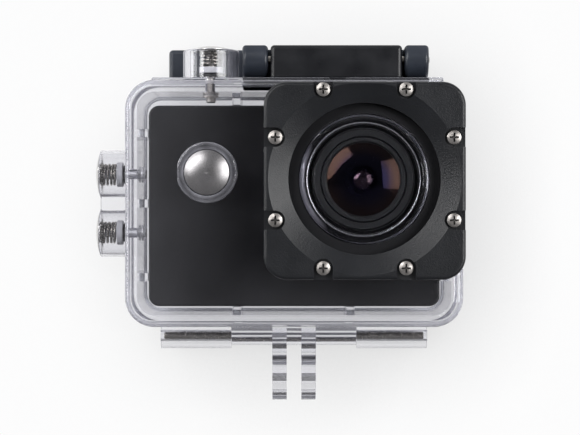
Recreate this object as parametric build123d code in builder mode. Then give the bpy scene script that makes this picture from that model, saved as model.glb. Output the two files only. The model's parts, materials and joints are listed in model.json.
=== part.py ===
"""Small action camera inside its clear dive housing, as an assembly of separate pieces.

Millimetres, +Z up. The origin is the centre of the mount fingers' pin hole, the front of the
housing faces -Y and +X runs to the right as seen from the front.
"""

from build123d import *
import math
import os

os.makedirs("parts", exist_ok=True)

# ---------------------------------------------------------------- driving dimensions
# Housing: a shallow rounded box, open at the back.
CASE_W = 69.5
CASE_H = 50.8
CASE_Z = 34.1
CASE_R = 6.0
CASE_FRONT = -16.0
CASE_EDGE = 1.4
WALL = 2.4
FRONT_WALL = 2.5
PARTING_Y = 13.0
CASE_TOP = CASE_Z + CASE_H / 2
CASE_BOTTOM = CASE_Z - CASE_H / 2
CASE_LEFT = -CASE_W / 2

# Raised flat on top of the housing that carries the shutter button and the latch.
DECK_RISE = 0.8
DECK_TOP = CASE_TOP + DECK_RISE
DECK_LEFT = -29.6
DECK_RIGHT = 31.0
DECK_FRONT = -10.5
DECK_REAR = 12.0

# Back door and its cord seal.
DOOR_GAP = 0.05
DOOR_T = 3.55
PLUG_DEPTH = 1.2
PLUG_INSET = 2.8
PLUG_WALL = 1.6
SEAL_W = 1.15
REBATE = 1.0
REBATE_DEPTH = 1.4
DOOR_FRONT = PARTING_Y + DOOR_GAP
DOOR_REAR = DOOR_FRONT + DOOR_T

# Hinge of the back door.
HINGE_Y = 14.5
HINGE_Z = 5.3
HINGE_PIN_R = 0.8
HINGE_PIN_HALF = 28.4
SHELL_KNUCKLE_R = 2.1
DOOR_KNUCKLE_R = 2.8
SHELL_KNUCKLE_HALF = 13.6
SHELL_WEB = 1.2
DOOR_KNUCKLE_IN = 13.7
DOOR_KNUCKLE_OUT = 29.1

# Running fit of every pin and stem in its bore.
FIT = 0.05

# Two mount fingers around a cross pin.
FINGER_R = 7.5
FINGER_T = 3.0
FINGER_GAP = 3.1
FINGER_BORE_R = 2.5

# Camera body.
CAM_W = 60.0
CAM_H = 41.4
CAM_Z = 33.6
CAM_R = 2.2
CAM_FRONT = -12.7
CAM_REAR = 11.1
CAM_SPLIT = 4.2
CAM_WALL = 1.5
PLATE_T = 0.8
CAM_LEFT = -CAM_W / 2
CAM_TOP = CAM_Z + CAM_H / 2
CAM_BOTTOM = CAM_Z - CAM_H / 2

# Lens and lens port share one axis.
LENS_X = 14.1
LENS_Z = 38.95
COVER_W = 40.4
COVER_H = 39.6
COVER_DROP = 0.4
COVER_R = 4.7
COVER_FRONT = -27.0
COVER_BACK = -22.6
COVER_EDGE = 0.7
DISH_OUTER_R = 19.35
DISH_INNER_R = 15.3
DISH_FLOOR = -24.9
PORT_TOWER_INSET = 0.7
PORT_BORE_R = 13.1
GLASS_R = 16.2
GLASS_POCKET_R = 16.35
GLASS_FRONT = -24.2
GLASS_BACK = -22.4
GASKET_SEAT = -21.6
PORT_SCREW_NEAR = 8.3
PORT_SCREW_FAR = 17.9
PORT_SCREW_HEAD_R = 1.4
PORT_SCREW_R = 0.8
PORT_SCREW_SLOT_R = 1.95
PORT_SCREW_FLOOR = -25.3
PORT_SCREW_HEAD_T = 1.15
PORT_SCREW_CROWN = 0.3
PORT_SCREW_CROSS = (1.9, 0.42)
PORT_SCREW_CROSS_DEPTH = 0.6
PORT_SCREW_TIP = -18.6

# Camera lens, from its mounting flange forwards.
BEZEL_R = 11.7
BEZEL_FRONT = -18.4
BEZEL_RIM = 0.5
BEZEL_STEP = 1.6
BEZEL_FLANGE_R = 12.95
BEZEL_SHOULDER = -17.9
BARREL_R = 10.4
BARREL_GROOVE_R = 8.67
BARREL_FRONT = -19.0
BARREL_TAIL_R = 6.8
BARREL_REAR = -3.0
FRONT_GLASS_R = 7.45

# Latch on top of the housing.
LATCH_TOP = 67.5
ARM_PIN_Y = -1.0
ARM_PIN_Z = 64.6
ARM_NOSE_R = 4.1
ARM_BOTTOM = 60.5
BUCKLE_PIN_Y = 10.5
BUCKLE_PIN_Z = 64.0
BUCKLE_PIN_R = 0.8
ARM_TAIL_R = 3.5
EAR_LEFT = (-10.9, -5.5)
EAR_RIGHT = (23.3, 28.4)
BASE_LEFT = -4.95
BASE_RIGHT = 22.75
BASE_FRONT = -5.0
BASE_REAR = 3.0
BASE_BOTTOM = 60.6
LATCH_TAB_X = (7.3, 10.8)
LATCH_EDGE = 0.8
PAD_X = (-10.6, 28.0)
PAD_Y = (-8.5, 9.5)
PAD_FIT = 0.1
PAD_BOTTOM = CASE_TOP - 1.3
BUCKLE_PLATE = (14.2, 17.0)
BUCKLE_TOP = 68.0
BUCKLE_LEFT = -27.4
BUCKLE_RIGHT = 28.4
BUCKLE_KNUCKLE_R = 3.2
HOOK_BOTTOM = 59.7

# Spring plungers.
STEM_R = 1.0
BOSS_T = 0.5
O_RING_R = 0.5
SPRING_R = 2.15
GUARD_EDGE = 0.5

# Camera keys under the plungers.
KEY_GAP = 1.1
KEY_FLANGE = 0.7


# ---------------------------------------------------------------- shared helpers
def at_depth(y):
    """Sketch plane facing the front, at depth y: local x is X and local y is Z."""
    return Plane.XZ.offset(-y)


def across(x):
    """Sketch plane facing right, at width x: local x is Y and local y is Z."""
    return Plane.YZ.offset(x)


def block(x_span, y_span, z_span, mode=Mode.ADD):
    """Add or cut a box that fills three spans."""
    middle = [(low + high) / 2 for low, high in (x_span, y_span, z_span)]
    sizes = [high - low for low, high in (x_span, y_span, z_span)]
    with Locations(tuple(middle)):
        Box(*sizes, mode=mode)


def half_section(seat):
    """Half plane through a seat's axis: local x leaves the axis, local y follows it."""
    return Plane(origin=seat.origin, x_dir=seat.x_dir, z_dir=-seat.y_dir)


def crown_arc(radius, edge, rise):
    """Arc from the rim at (radius, edge) to the axis, square to the axis, risen by rise."""
    bend = (radius**2 + rise**2) / (2 * rise)
    half_angle = math.asin(radius / abs(bend)) / 2
    middle = (abs(bend) * math.sin(half_angle), edge + rise - bend * (1 - math.cos(half_angle)))
    ThreePointArc((radius, edge), middle, (0, edge + rise))


def save(piece, name):
    """Label a finished piece and write it to its own file."""
    piece.part.label = name
    export_step(piece.part, f"parts/{name}.step")


LENS_AXIS = Plane(origin=(LENS_X, 0, LENS_Z), x_dir=(1, 0, 0), z_dir=(0, -1, 0))
SHUTTER_SEAT = Plane(origin=(-17.6, 0, DECK_TOP), x_dir=(1, 0, 0), z_dir=(0, 0, 1))
POWER_SEAT = Plane(origin=(-17.75, CASE_FRONT, 40.35), x_dir=(1, 0, 0), z_dir=(0, -1, 0))
UP_SEAT = Plane(origin=(CASE_LEFT, 0, 40.3), x_dir=(0, 1, 0), z_dir=(-1, 0, 0))
DOWN_SEAT = Plane(origin=(CASE_LEFT, 0, 28.0), x_dir=(0, 1, 0), z_dir=(-1, 0, 0))

# Each plunger: its seat, the wall it passes, the guard tube around it and its stack of pieces.
PLUNGERS = {
    "shutter": dict(
        seat=SHUTTER_SEAT, wall=WALL + DECK_RISE, guard_r=5.95, guard_h=6.4, cap_r=4.3,
        collar_t=1.3, spring_h=3.5, coils=4.5, wire_r=0.2, crown=1.0, reach=1.5, skirt=0.3,
    ),
    "power": dict(
        seat=POWER_SEAT, wall=FRONT_WALL, guard_r=6.2, guard_h=4.4, cap_r=4.55,
        collar_t=0.5, spring_h=2.2, coils=2.5, wire_r=0.14, crown=1.3, reach=0.9, skirt=1.2,
    ),
    "up": dict(
        seat=UP_SEAT, wall=WALL, guard_r=5.15, guard_h=6.4, cap_r=4.3,
        collar_t=1.3, spring_h=3.5, coils=4.5, wire_r=0.2, crown=0.95, reach=1.0, skirt=0.3,
    ),
    "down": dict(
        seat=DOWN_SEAT, wall=WALL, guard_r=5.15, guard_h=6.4, cap_r=4.3,
        collar_t=1.3, spring_h=3.5, coils=4.5, wire_r=0.2, crown=0.95, reach=1.0, skirt=0.3,
    ),
}
GUARD_CLEARANCE = 0.2
GUARD_WEB_H = 6.2
GUARD_WEB_HALF = 2.0
GUARD_FLAT = 5.95


# ---------------------------------------------------------------- housing: front shell
def port_screw_spots():
    """Centres of the eight port screws around the lens axis, two along each edge."""
    spots = []
    for side in (-1, 1):
        for step in (-1, 1):
            spots.append((step * PORT_SCREW_NEAR, side * PORT_SCREW_FAR))
            spots.append((side * PORT_SCREW_FAR, step * PORT_SCREW_NEAR))
    return spots


RIB_T = 1.7
RIB_Y = (CASE_FRONT + FRONT_WALL - 0.2, 8.0)
RIB_CLEARANCE = 0.1
CASE_IN_X = CASE_W / 2 - WALL
CASE_IN_TOP = CASE_TOP - WALL
CASE_IN_BOTTOM = CASE_BOTTOM + WALL
SIDE_RIBS_Z = (18.9, 34.1, 48.6)
FLOOR_RIBS_X = (-11.8, 11.6)
TOP_RIB_X = (-11.9, 20.0)


def locating_ribs():
    """Short walls that hold the camera body off the housing's inside."""
    half = CAM_W / 2 + RIB_CLEARANCE
    for z in SIDE_RIBS_Z:
        for side in (-1, 1):
            near, far = sorted((side * half, side * (CASE_IN_X + 0.2)))
            block((near, far), RIB_Y, (z - RIB_T / 2, z + RIB_T / 2))
    for x in FLOOR_RIBS_X:
        low = (CASE_IN_BOTTOM - 0.2, CAM_BOTTOM - RIB_CLEARANCE)
        block((x - RIB_T / 2, x + RIB_T / 2), RIB_Y, low)
    for x in TOP_RIB_X:
        high = (CAM_TOP + RIB_CLEARANCE, CASE_IN_TOP + 0.2)
        block((x - RIB_T / 2, x + RIB_T / 2), RIB_Y, high)


with BuildPart() as front_shell:
    with BuildSketch(at_depth(PARTING_Y)):
        with Locations((0, CASE_Z)):
            RectangleRounded(CASE_W, CASE_H, CASE_R)
    extrude(amount=PARTING_Y - CASE_FRONT)
    fillet(front_shell.faces().sort_by(Axis.Y)[0].edges(), CASE_EDGE)

    # Raised deck for the latch and the shutter button.
    block((DECK_LEFT, DECK_RIGHT), (DECK_FRONT, DECK_REAR), (CASE_TOP - 1, DECK_TOP))
    fillet(front_shell.faces().sort_by(Axis.Z)[-1].edges(), 0.4)

    # Lens port tower, a rounded square that carries the window and the cover.
    with BuildSketch(at_depth(CASE_FRONT + 1)):
        with Locations((LENS_X, LENS_Z - COVER_DROP)):
            RectangleRounded(
                COVER_W - 2 * PORT_TOWER_INSET, COVER_H - 2 * PORT_TOWER_INSET, COVER_R - 0.6
            )
    extrude(amount=CASE_FRONT + 1 - COVER_BACK)

    # Guard tubes of the plungers, with a web that joins the two side ones.
    for plunger in PLUNGERS.values():
        with BuildSketch(plunger["seat"].offset(-1)):
            Circle(plunger["guard_r"])
        extrude(amount=1 + plunger["guard_h"])
        top = Vertex(*plunger["seat"].offset(plunger["guard_h"]).origin)
        fillet(front_shell.faces().sort_by_distance(top)[0].edges(), GUARD_EDGE)
    block(
        (CASE_LEFT - GUARD_WEB_H, CASE_LEFT + 1), (-GUARD_WEB_HALF, GUARD_WEB_HALF),
        (DOWN_SEAT.origin.Z, UP_SEAT.origin.Z),
    )

    # Mount fingers: one solid tongue here, split by the gap below.
    finger_half = FINGER_GAP / 2 + FINGER_T
    with BuildSketch(across(-finger_half)):
        Circle(FINGER_R)
        with BuildLine():
            Polyline(
                (-FINGER_R, 0), (-FINGER_R - 0.9, CASE_BOTTOM + 0.5),
                (FINGER_R + 0.9, CASE_BOTTOM + 0.5), (FINGER_R, 0), close=True,
            )
        make_face()
    extrude(amount=2 * finger_half)

    # Gusset and middle knuckle of the door hinge.
    web_rise = math.sqrt(SHELL_KNUCKLE_R**2 - SHELL_WEB**2) - 0.01
    with BuildSketch(across(-SHELL_KNUCKLE_HALF)):
        with Locations((HINGE_Y, HINGE_Z)):
            Circle(SHELL_KNUCKLE_R)
        with BuildLine():
            Polyline(
                (7.5, CASE_BOTTOM + 0.2), (PARTING_Y, CASE_BOTTOM + 0.2),
                (HINGE_Y - SHELL_WEB, HINGE_Z + web_rise), (HINGE_Y, HINGE_Z),
                (HINGE_Y - SHELL_WEB, HINGE_Z - web_rise), close=True,
            )
        make_face()
    extrude(amount=2 * SHELL_KNUCKLE_HALF)

    # Inside of the box, and the stepped rim that the door seal sits in.
    with BuildSketch(at_depth(PARTING_Y)):
        with Locations((0, CASE_Z)):
            RectangleRounded(CASE_W - 2 * WALL, CASE_H - 2 * WALL, CASE_R - WALL)
    extrude(amount=PARTING_Y - CASE_FRONT - FRONT_WALL, mode=Mode.SUBTRACT)
    rim = 2 * (WALL - REBATE)
    with BuildSketch(at_depth(PARTING_Y)):
        with Locations((0, CASE_Z)):
            RectangleRounded(CASE_W - rim, CASE_H - rim, CASE_R - WALL + REBATE)
    extrude(amount=REBATE_DEPTH, mode=Mode.SUBTRACT)
    locating_ribs()

    # Window pocket, port bore and the eight screw holes.
    with BuildSketch(LENS_AXIS.offset(-COVER_BACK)):
        Circle(GLASS_POCKET_R)
    extrude(amount=COVER_BACK - GASKET_SEAT, mode=Mode.SUBTRACT)
    with BuildSketch(LENS_AXIS.offset(-COVER_BACK)):
        Circle(PORT_BORE_R)
    extrude(amount=COVER_BACK - (CASE_FRONT + FRONT_WALL), mode=Mode.SUBTRACT)
    with BuildSketch(LENS_AXIS.offset(-COVER_BACK)):
        with Locations(*port_screw_spots()):
            Circle(PORT_SCREW_R + FIT)
    extrude(amount=COVER_BACK - PORT_SCREW_TIP - 0.3, mode=Mode.SUBTRACT)

    # Plunger wells down to the raised seat, then the stem holes through the wall.
    for plunger in PLUNGERS.values():
        seat = plunger["seat"]
        with BuildSketch(seat.offset(BOSS_T)):
            Circle(plunger["cap_r"] + GUARD_CLEARANCE)
        extrude(amount=plunger["guard_h"], mode=Mode.SUBTRACT)
        with BuildSketch(seat.offset(BOSS_T)):
            Circle(STEM_R + FIT)
        extrude(amount=-BOSS_T - plunger["wall"], mode=Mode.SUBTRACT)

    # Finger gap, cross bore, and the hinge pin's bore.
    with BuildSketch(at_depth(-FINGER_R - 2)):
        Rectangle(FINGER_GAP, 2 * (CASE_BOTTOM - 0.6))
        with Locations((0, -FINGER_R)):
            Rectangle(FINGER_GAP, 4)
    extrude(amount=-2 * FINGER_R - 4, mode=Mode.SUBTRACT)
    with BuildSketch(across(-finger_half)):
        Circle(FINGER_BORE_R)
    extrude(amount=2 * finger_half, mode=Mode.SUBTRACT)
    with BuildSketch(across(-SHELL_KNUCKLE_HALF)):
        with Locations((HINGE_Y, HINGE_Z)):
            Circle(HINGE_PIN_R + FIT)
    extrude(amount=2 * SHELL_KNUCKLE_HALF, mode=Mode.SUBTRACT)

    # Pocket in the deck for the latch base's pad, open at the front where its tab lies.
    pocket = [(span[0] - PAD_FIT, span[1] + PAD_FIT) for span in (PAD_X, PAD_Y, LATCH_TAB_X)]
    block(pocket[0], pocket[1], (PAD_BOTTOM, DECK_TOP), Mode.SUBTRACT)
    block(pocket[2], (DECK_FRONT - 0.1, PAD_Y[0]), (CASE_TOP, DECK_TOP), Mode.SUBTRACT)

    # Power guard: a flat on its left and a shallow pocket in its rim on the right.
    power_x, power_z = POWER_SEAT.origin.X, POWER_SEAT.origin.Z
    rim_y = CASE_FRONT - PLUNGERS["power"]["guard_h"]
    block(
        (power_x - 6.4, power_x - GUARD_FLAT), (rim_y - 0.1, CASE_FRONT - 1.4), (power_z - 2, power_z + 2),
        Mode.SUBTRACT,
    )
    block(
        (power_x + 5.1, power_x + 5.7), (rim_y - 0.1, rim_y + 0.6), (power_z - 0.8, power_z + 0.8),
        Mode.SUBTRACT,
    )
save(front_shell, "front_shell")


# ---------------------------------------------------------------- housing: back door
def plug_size(inset):
    """Width, height and corner radius of a rounded rectangle inset from the case outline."""
    return CASE_W - 2 * inset, CASE_H - 2 * inset, max(CASE_R - inset, 0.6)


CATCH_X = (-3.0, 21.0)
with BuildPart() as rear_door:
    with BuildSketch(at_depth(DOOR_REAR)):
        with Locations((0, CASE_Z)):
            RectangleRounded(CASE_W, CASE_H, CASE_R)
    extrude(amount=DOOR_T)
    fillet(rear_door.faces().sort_by(Axis.Y)[-1].edges(), 1.0)
    with BuildSketch(at_depth(DOOR_FRONT)):
        with Locations((0, CASE_Z)):
            RectangleRounded(*plug_size(PLUG_INSET))
            RectangleRounded(*plug_size(PLUG_INSET + PLUG_WALL), mode=Mode.SUBTRACT)
    extrude(amount=PLUG_DEPTH)

    # Raised rib under the latch hook.
    block(CATCH_X, (DOOR_REAR - 0.8, DOOR_REAR + 0.8), (CASE_TOP - 2.6, CASE_TOP - 0.4))

    # Outer knuckles of the hinge, each joined to the plate by a web.
    for side in (-1, 1):
        start = DOOR_KNUCKLE_IN if side > 0 else -DOOR_KNUCKLE_OUT
        with BuildSketch(across(start)):
            with Locations((HINGE_Y, HINGE_Z)):
                Circle(DOOR_KNUCKLE_R)
            with BuildLine():
                Polyline(
                    (DOOR_FRONT + 0.1, CASE_BOTTOM + 2.0), (DOOR_REAR - 1.0, CASE_BOTTOM + 2.0),
                    (DOOR_REAR, CASE_BOTTOM + 0.4), (HINGE_Y + DOOR_KNUCKLE_R, HINGE_Z),
                    (HINGE_Y, HINGE_Z), (DOOR_FRONT + 0.1, HINGE_Z + 2.0), close=True,
                )
            make_face()
        extrude(amount=DOOR_KNUCKLE_OUT - DOOR_KNUCKLE_IN)
    with BuildSketch(across(-DOOR_KNUCKLE_OUT)):
        with Locations((HINGE_Y, HINGE_Z)):
            Circle(HINGE_PIN_R + FIT)
    extrude(amount=2 * DOOR_KNUCKLE_OUT, mode=Mode.SUBTRACT)
save(rear_door, "rear_door")

# Cord seal: a rounded frame that hugs the door's plug and lies in the shell's stepped rim.
with BuildPart() as door_seal:
    with BuildSketch(at_depth(DOOR_FRONT)):
        with Locations((0, CASE_Z)):
            RectangleRounded(*plug_size(PLUG_INSET - FIT - SEAL_W))
            RectangleRounded(*plug_size(PLUG_INSET - FIT), mode=Mode.SUBTRACT)
    extrude(amount=PLUG_DEPTH)
    fillet(door_seal.faces().sort_by(Axis.Y)[0].edges(), 0.35)
save(door_seal, "door_seal")

with BuildPart() as hinge_pin:
    with BuildSketch(across(-HINGE_PIN_HALF)):
        with Locations((HINGE_Y, HINGE_Z)):
            Circle(HINGE_PIN_R)
    extrude(amount=2 * HINGE_PIN_HALF)
    chamfer(hinge_pin.edges().filter_by(GeomType.CIRCLE), 0.2)
save(hinge_pin, "hinge_pin")


# ---------------------------------------------------------------- housing: lens port
with BuildPart() as lens_port_cover:
    with BuildSketch(LENS_AXIS.offset(-COVER_BACK)):
        with Locations((0, -COVER_DROP)):
            RectangleRounded(COVER_W, COVER_H, COVER_R)
    extrude(amount=COVER_BACK - COVER_FRONT)
    fillet(lens_port_cover.faces().sort_by(Axis.Y)[0].edges(), COVER_EDGE)

    # Conical dish, then the opening over the window, then the window's pocket behind.
    with BuildSketch(half_section(LENS_AXIS)):
        with BuildLine():
            Polyline(
                (0, -DISH_FLOOR), (DISH_INNER_R, -DISH_FLOOR),
                (DISH_OUTER_R, -COVER_FRONT), (0, -COVER_FRONT), close=True,
            )
        make_face()
    revolve(axis=Axis(LENS_AXIS.origin, LENS_AXIS.z_dir), mode=Mode.SUBTRACT)
    with BuildSketch(LENS_AXIS.offset(-COVER_FRONT)):
        Circle(DISH_INNER_R)
    extrude(amount=COVER_FRONT - COVER_BACK, mode=Mode.SUBTRACT)
    with BuildSketch(LENS_AXIS.offset(-GLASS_FRONT)):
        Circle(GLASS_POCKET_R)
    extrude(amount=GLASS_FRONT - COVER_BACK, mode=Mode.SUBTRACT)

    # Each screw sits in a slot that runs out to the nearest edge.
    for x, z in port_screw_spots():
        out_x = math.copysign(1, x) if abs(x) > abs(z) else 0
        out_z = math.copysign(1, z) if abs(z) > abs(x) else 0
        reach_out = COVER_W / 2 - PORT_SCREW_FAR + 1
        with BuildSketch(LENS_AXIS.offset(-COVER_FRONT)):
            with Locations((x, z)):
                Circle(PORT_SCREW_SLOT_R)
            with Locations((x + out_x * reach_out / 2, z + out_z * reach_out / 2)):
                Rectangle(
                    reach_out if out_x else 2 * PORT_SCREW_SLOT_R,
                    reach_out if out_z else 2 * PORT_SCREW_SLOT_R,
                )
        extrude(amount=COVER_FRONT - PORT_SCREW_FLOOR, mode=Mode.SUBTRACT)
    with BuildSketch(LENS_AXIS.offset(-COVER_FRONT)):
        with Locations(*port_screw_spots()):
            Circle(PORT_SCREW_R + FIT)
    extrude(amount=COVER_FRONT - COVER_BACK, mode=Mode.SUBTRACT)
save(lens_port_cover, "lens_port_cover")

with BuildPart() as lens_port_screws:
    for x, z in port_screw_spots():
        seat = Plane(
            origin=(LENS_X + x, PORT_SCREW_FLOOR, LENS_Z + z), x_dir=(1, 0, 0), z_dir=(0, -1, 0)
        )
        with BuildSketch(half_section(seat)):
            with BuildLine():
                Polyline(
                    (0, PORT_SCREW_HEAD_T), (0, PORT_SCREW_FLOOR - PORT_SCREW_TIP),
                    (PORT_SCREW_R - 0.3, PORT_SCREW_FLOOR - PORT_SCREW_TIP),
                    (PORT_SCREW_R, PORT_SCREW_FLOOR - PORT_SCREW_TIP + 0.5), (PORT_SCREW_R, 0),
                    (PORT_SCREW_HEAD_R, 0), (PORT_SCREW_HEAD_R, PORT_SCREW_HEAD_T - PORT_SCREW_CROWN),
                )
                crown_arc(PORT_SCREW_HEAD_R, PORT_SCREW_HEAD_T - PORT_SCREW_CROWN, PORT_SCREW_CROWN)
            make_face()
        revolve(axis=Axis(seat.origin, seat.z_dir))
        long, short = PORT_SCREW_CROSS
        with BuildSketch(seat.offset(PORT_SCREW_HEAD_T)):
            Rectangle(long, short)
            Rectangle(short, long)
        extrude(amount=-PORT_SCREW_CROSS_DEPTH, taper=8, mode=Mode.SUBTRACT)
save(lens_port_screws, "lens_port_screws")

with BuildPart() as lens_port_glass:
    with BuildSketch(LENS_AXIS.offset(-GLASS_BACK)):
        Circle(GLASS_R)
    extrude(amount=GLASS_BACK - GLASS_FRONT)
    chamfer(lens_port_glass.edges().filter_by(GeomType.CIRCLE), 0.25)
save(lens_port_glass, "lens_port_glass")

with BuildPart() as lens_port_gasket:
    with BuildSketch(LENS_AXIS.offset(-GASKET_SEAT)):
        Circle(GLASS_R - 0.1)
        Circle(PORT_BORE_R + 0.2, mode=Mode.SUBTRACT)
    extrude(amount=GASKET_SEAT - GLASS_BACK)
save(lens_port_gasket, "lens_port_gasket")


# ---------------------------------------------------------------- housing: latch
def pin_along_x(x_span, y, z, radius):
    """Round pin with bevelled ends, added to the open part."""
    with BuildSketch(across(x_span[0])) as section:
        with Locations((y, z)):
            Circle(radius)
    extrude(section.sketch, amount=x_span[1] - x_span[0])


with BuildPart() as latch_base:
    block((BASE_LEFT, BASE_RIGHT), (BASE_FRONT, BASE_REAR), (BASE_BOTTOM, LATCH_TOP))
    fillet(latch_base.edges().filter_by(Axis.Z), LATCH_EDGE + 0.1)
    fillet(latch_base.faces().sort_by(Axis.Z)[-1].edges(), LATCH_EDGE)
    fillet(latch_base.faces().sort_by(Axis.Z)[0].edges(), 0.3)
    block(PAD_X, PAD_Y, (PAD_BOTTOM, DECK_TOP))
    block(LATCH_TAB_X, (DECK_FRONT + 0.1, PAD_Y[0]), (CASE_TOP, DECK_TOP))
    for foot in ((-3.0, 1.0), (6.5, 11.5), (16.0, 20.0)):
        block(foot, (-3.6, 2.4), (DECK_TOP, BASE_BOTTOM + 0.1))
    with BuildSketch(across(BASE_LEFT)):
        with Locations((ARM_PIN_Y, ARM_PIN_Z)):
            Circle(HINGE_PIN_R + FIT)
    extrude(amount=BASE_RIGHT - BASE_LEFT, mode=Mode.SUBTRACT)
save(latch_base, "latch_base")

CROSSBAR_Y = (4.0, 6.9)
EAR_EDGE = 0.8
with BuildPart() as latch_arm:
    for left, right in (EAR_LEFT, EAR_RIGHT):
        with BuildSketch(across(left)):
            with Locations((ARM_PIN_Y, ARM_PIN_Z)):
                Circle(ARM_NOSE_R)
            with Locations(((ARM_PIN_Y + BUCKLE_PIN_Y) / 2, BUCKLE_PIN_Z)):
                Rectangle(BUCKLE_PIN_Y - ARM_PIN_Y, 2 * ARM_TAIL_R)
            with Locations((BUCKLE_PIN_Y, BUCKLE_PIN_Z)):
                Circle(ARM_TAIL_R)
            with Locations((ARM_PIN_Y, LATCH_TOP + 1)):
                Rectangle(4 * ARM_NOSE_R, 2, mode=Mode.SUBTRACT)
        extrude(amount=right - left)
    for face in latch_arm.faces().filter_by(Axis.X):
        fillet(face.edges(), EAR_EDGE)
    block((EAR_LEFT[1] - 0.5, EAR_RIGHT[0] + 0.5), CROSSBAR_Y, (ARM_BOTTOM + 0.3, LATCH_TOP - 0.3))
    for y, z, radius in (
        (ARM_PIN_Y, ARM_PIN_Z, HINGE_PIN_R + FIT),
        (BUCKLE_PIN_Y, BUCKLE_PIN_Z, BUCKLE_PIN_R + 0.01),
    ):
        with BuildSketch(across(EAR_LEFT[0] + 0.5)):
            with Locations((y, z)):
                Circle(radius)
        extrude(amount=EAR_RIGHT[1] - EAR_LEFT[0], mode=Mode.SUBTRACT)
save(latch_arm, "latch_arm")

with BuildPart() as latch_arm_pin:
    pin_along_x((EAR_LEFT[0] + 0.7, EAR_RIGHT[1] + 0.3), ARM_PIN_Y, ARM_PIN_Z, HINGE_PIN_R)
    chamfer(latch_arm_pin.edges().filter_by(GeomType.CIRCLE), 0.2)
save(latch_arm_pin, "latch_arm_pin")

KNUCKLE_X = (EAR_LEFT[1] + 0.3, EAR_RIGHT[0] - 0.3)
RIDGES = 7
with BuildPart() as latch_buckle:
    block((BUCKLE_LEFT, BUCKLE_RIGHT), BUCKLE_PLATE, (ARM_BOTTOM, BUCKLE_TOP))
    fillet(latch_buckle.edges(), 0.9)
    block((BUCKLE_LEFT + 2, BUCKLE_RIGHT - 2), (BUCKLE_PLATE[1] - 0.5, 20.4), (61.4, 63.4))
    fillet(latch_buckle.faces().sort_by(Axis.Y)[-1].edges(), 0.6)
    for step in range(RIDGES):
        y = BUCKLE_PLATE[1] + 0.35 + step * 0.42
        block((-12.0, 14.0), (y, y + 0.2), (63.3, 63.7))
    with BuildSketch(across(KNUCKLE_X[0])):
        with Locations((BUCKLE_PIN_Y, BUCKLE_PIN_Z)):
            Circle(BUCKLE_KNUCKLE_R)
        with Locations(((BUCKLE_PIN_Y + BUCKLE_PLATE[0]) / 2 + 0.3, BUCKLE_PIN_Z)):
            Rectangle(BUCKLE_PLATE[0] - BUCKLE_PIN_Y + 0.6, 5.6)
    extrude(amount=KNUCKLE_X[1] - KNUCKLE_X[0])

    # Hook lip that reaches down towards the door's rib.
    block((CATCH_X[0] + 1, CATCH_X[1] - 1), (BUCKLE_PLATE[0] + 0.6, 18.3), (HOOK_BOTTOM, 62.0))
    with BuildSketch(across(KNUCKLE_X[0])):
        with Locations((BUCKLE_PIN_Y, BUCKLE_PIN_Z)):
            Circle(BUCKLE_PIN_R + FIT)
    extrude(amount=KNUCKLE_X[1] - KNUCKLE_X[0], mode=Mode.SUBTRACT)
save(latch_buckle, "latch_buckle")

with BuildPart() as latch_buckle_pin:
    pin_along_x((EAR_LEFT[0] + 0.7, EAR_RIGHT[1] - 0.4), BUCKLE_PIN_Y, BUCKLE_PIN_Z, BUCKLE_PIN_R)
    chamfer(latch_buckle_pin.edges().filter_by(GeomType.CIRCLE), 0.2)
save(latch_buckle_pin, "latch_buckle_pin")


# ---------------------------------------------------------------- housing: plungers
CLIP_T = 0.4
CLIP_R = 1.7
CLIP_GAP = 0.1
GROOVE_R = 0.7
CAP_BORE_R = 3.0
HEAD_R = 1.6
HEAD_T = 0.45


def stack(plunger):
    """Heights above the seat: collar foot, spring foot, cap underside and cap top."""
    collar = BOSS_T + 2 * O_RING_R
    spring_foot = collar + plunger["collar_t"]
    cap_under = spring_foot + plunger["spring_h"]
    return collar, spring_foot, cap_under, cap_under + plunger["crown"]


def ring(seat, low, high, outer, inner):
    """Flat ring between two heights above a seat, added to the open part."""
    with BuildSketch(seat.offset(low)) as section:
        Circle(outer)
        Circle(inner, mode=Mode.SUBTRACT)
    extrude(section.sketch, amount=high - low)


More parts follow.
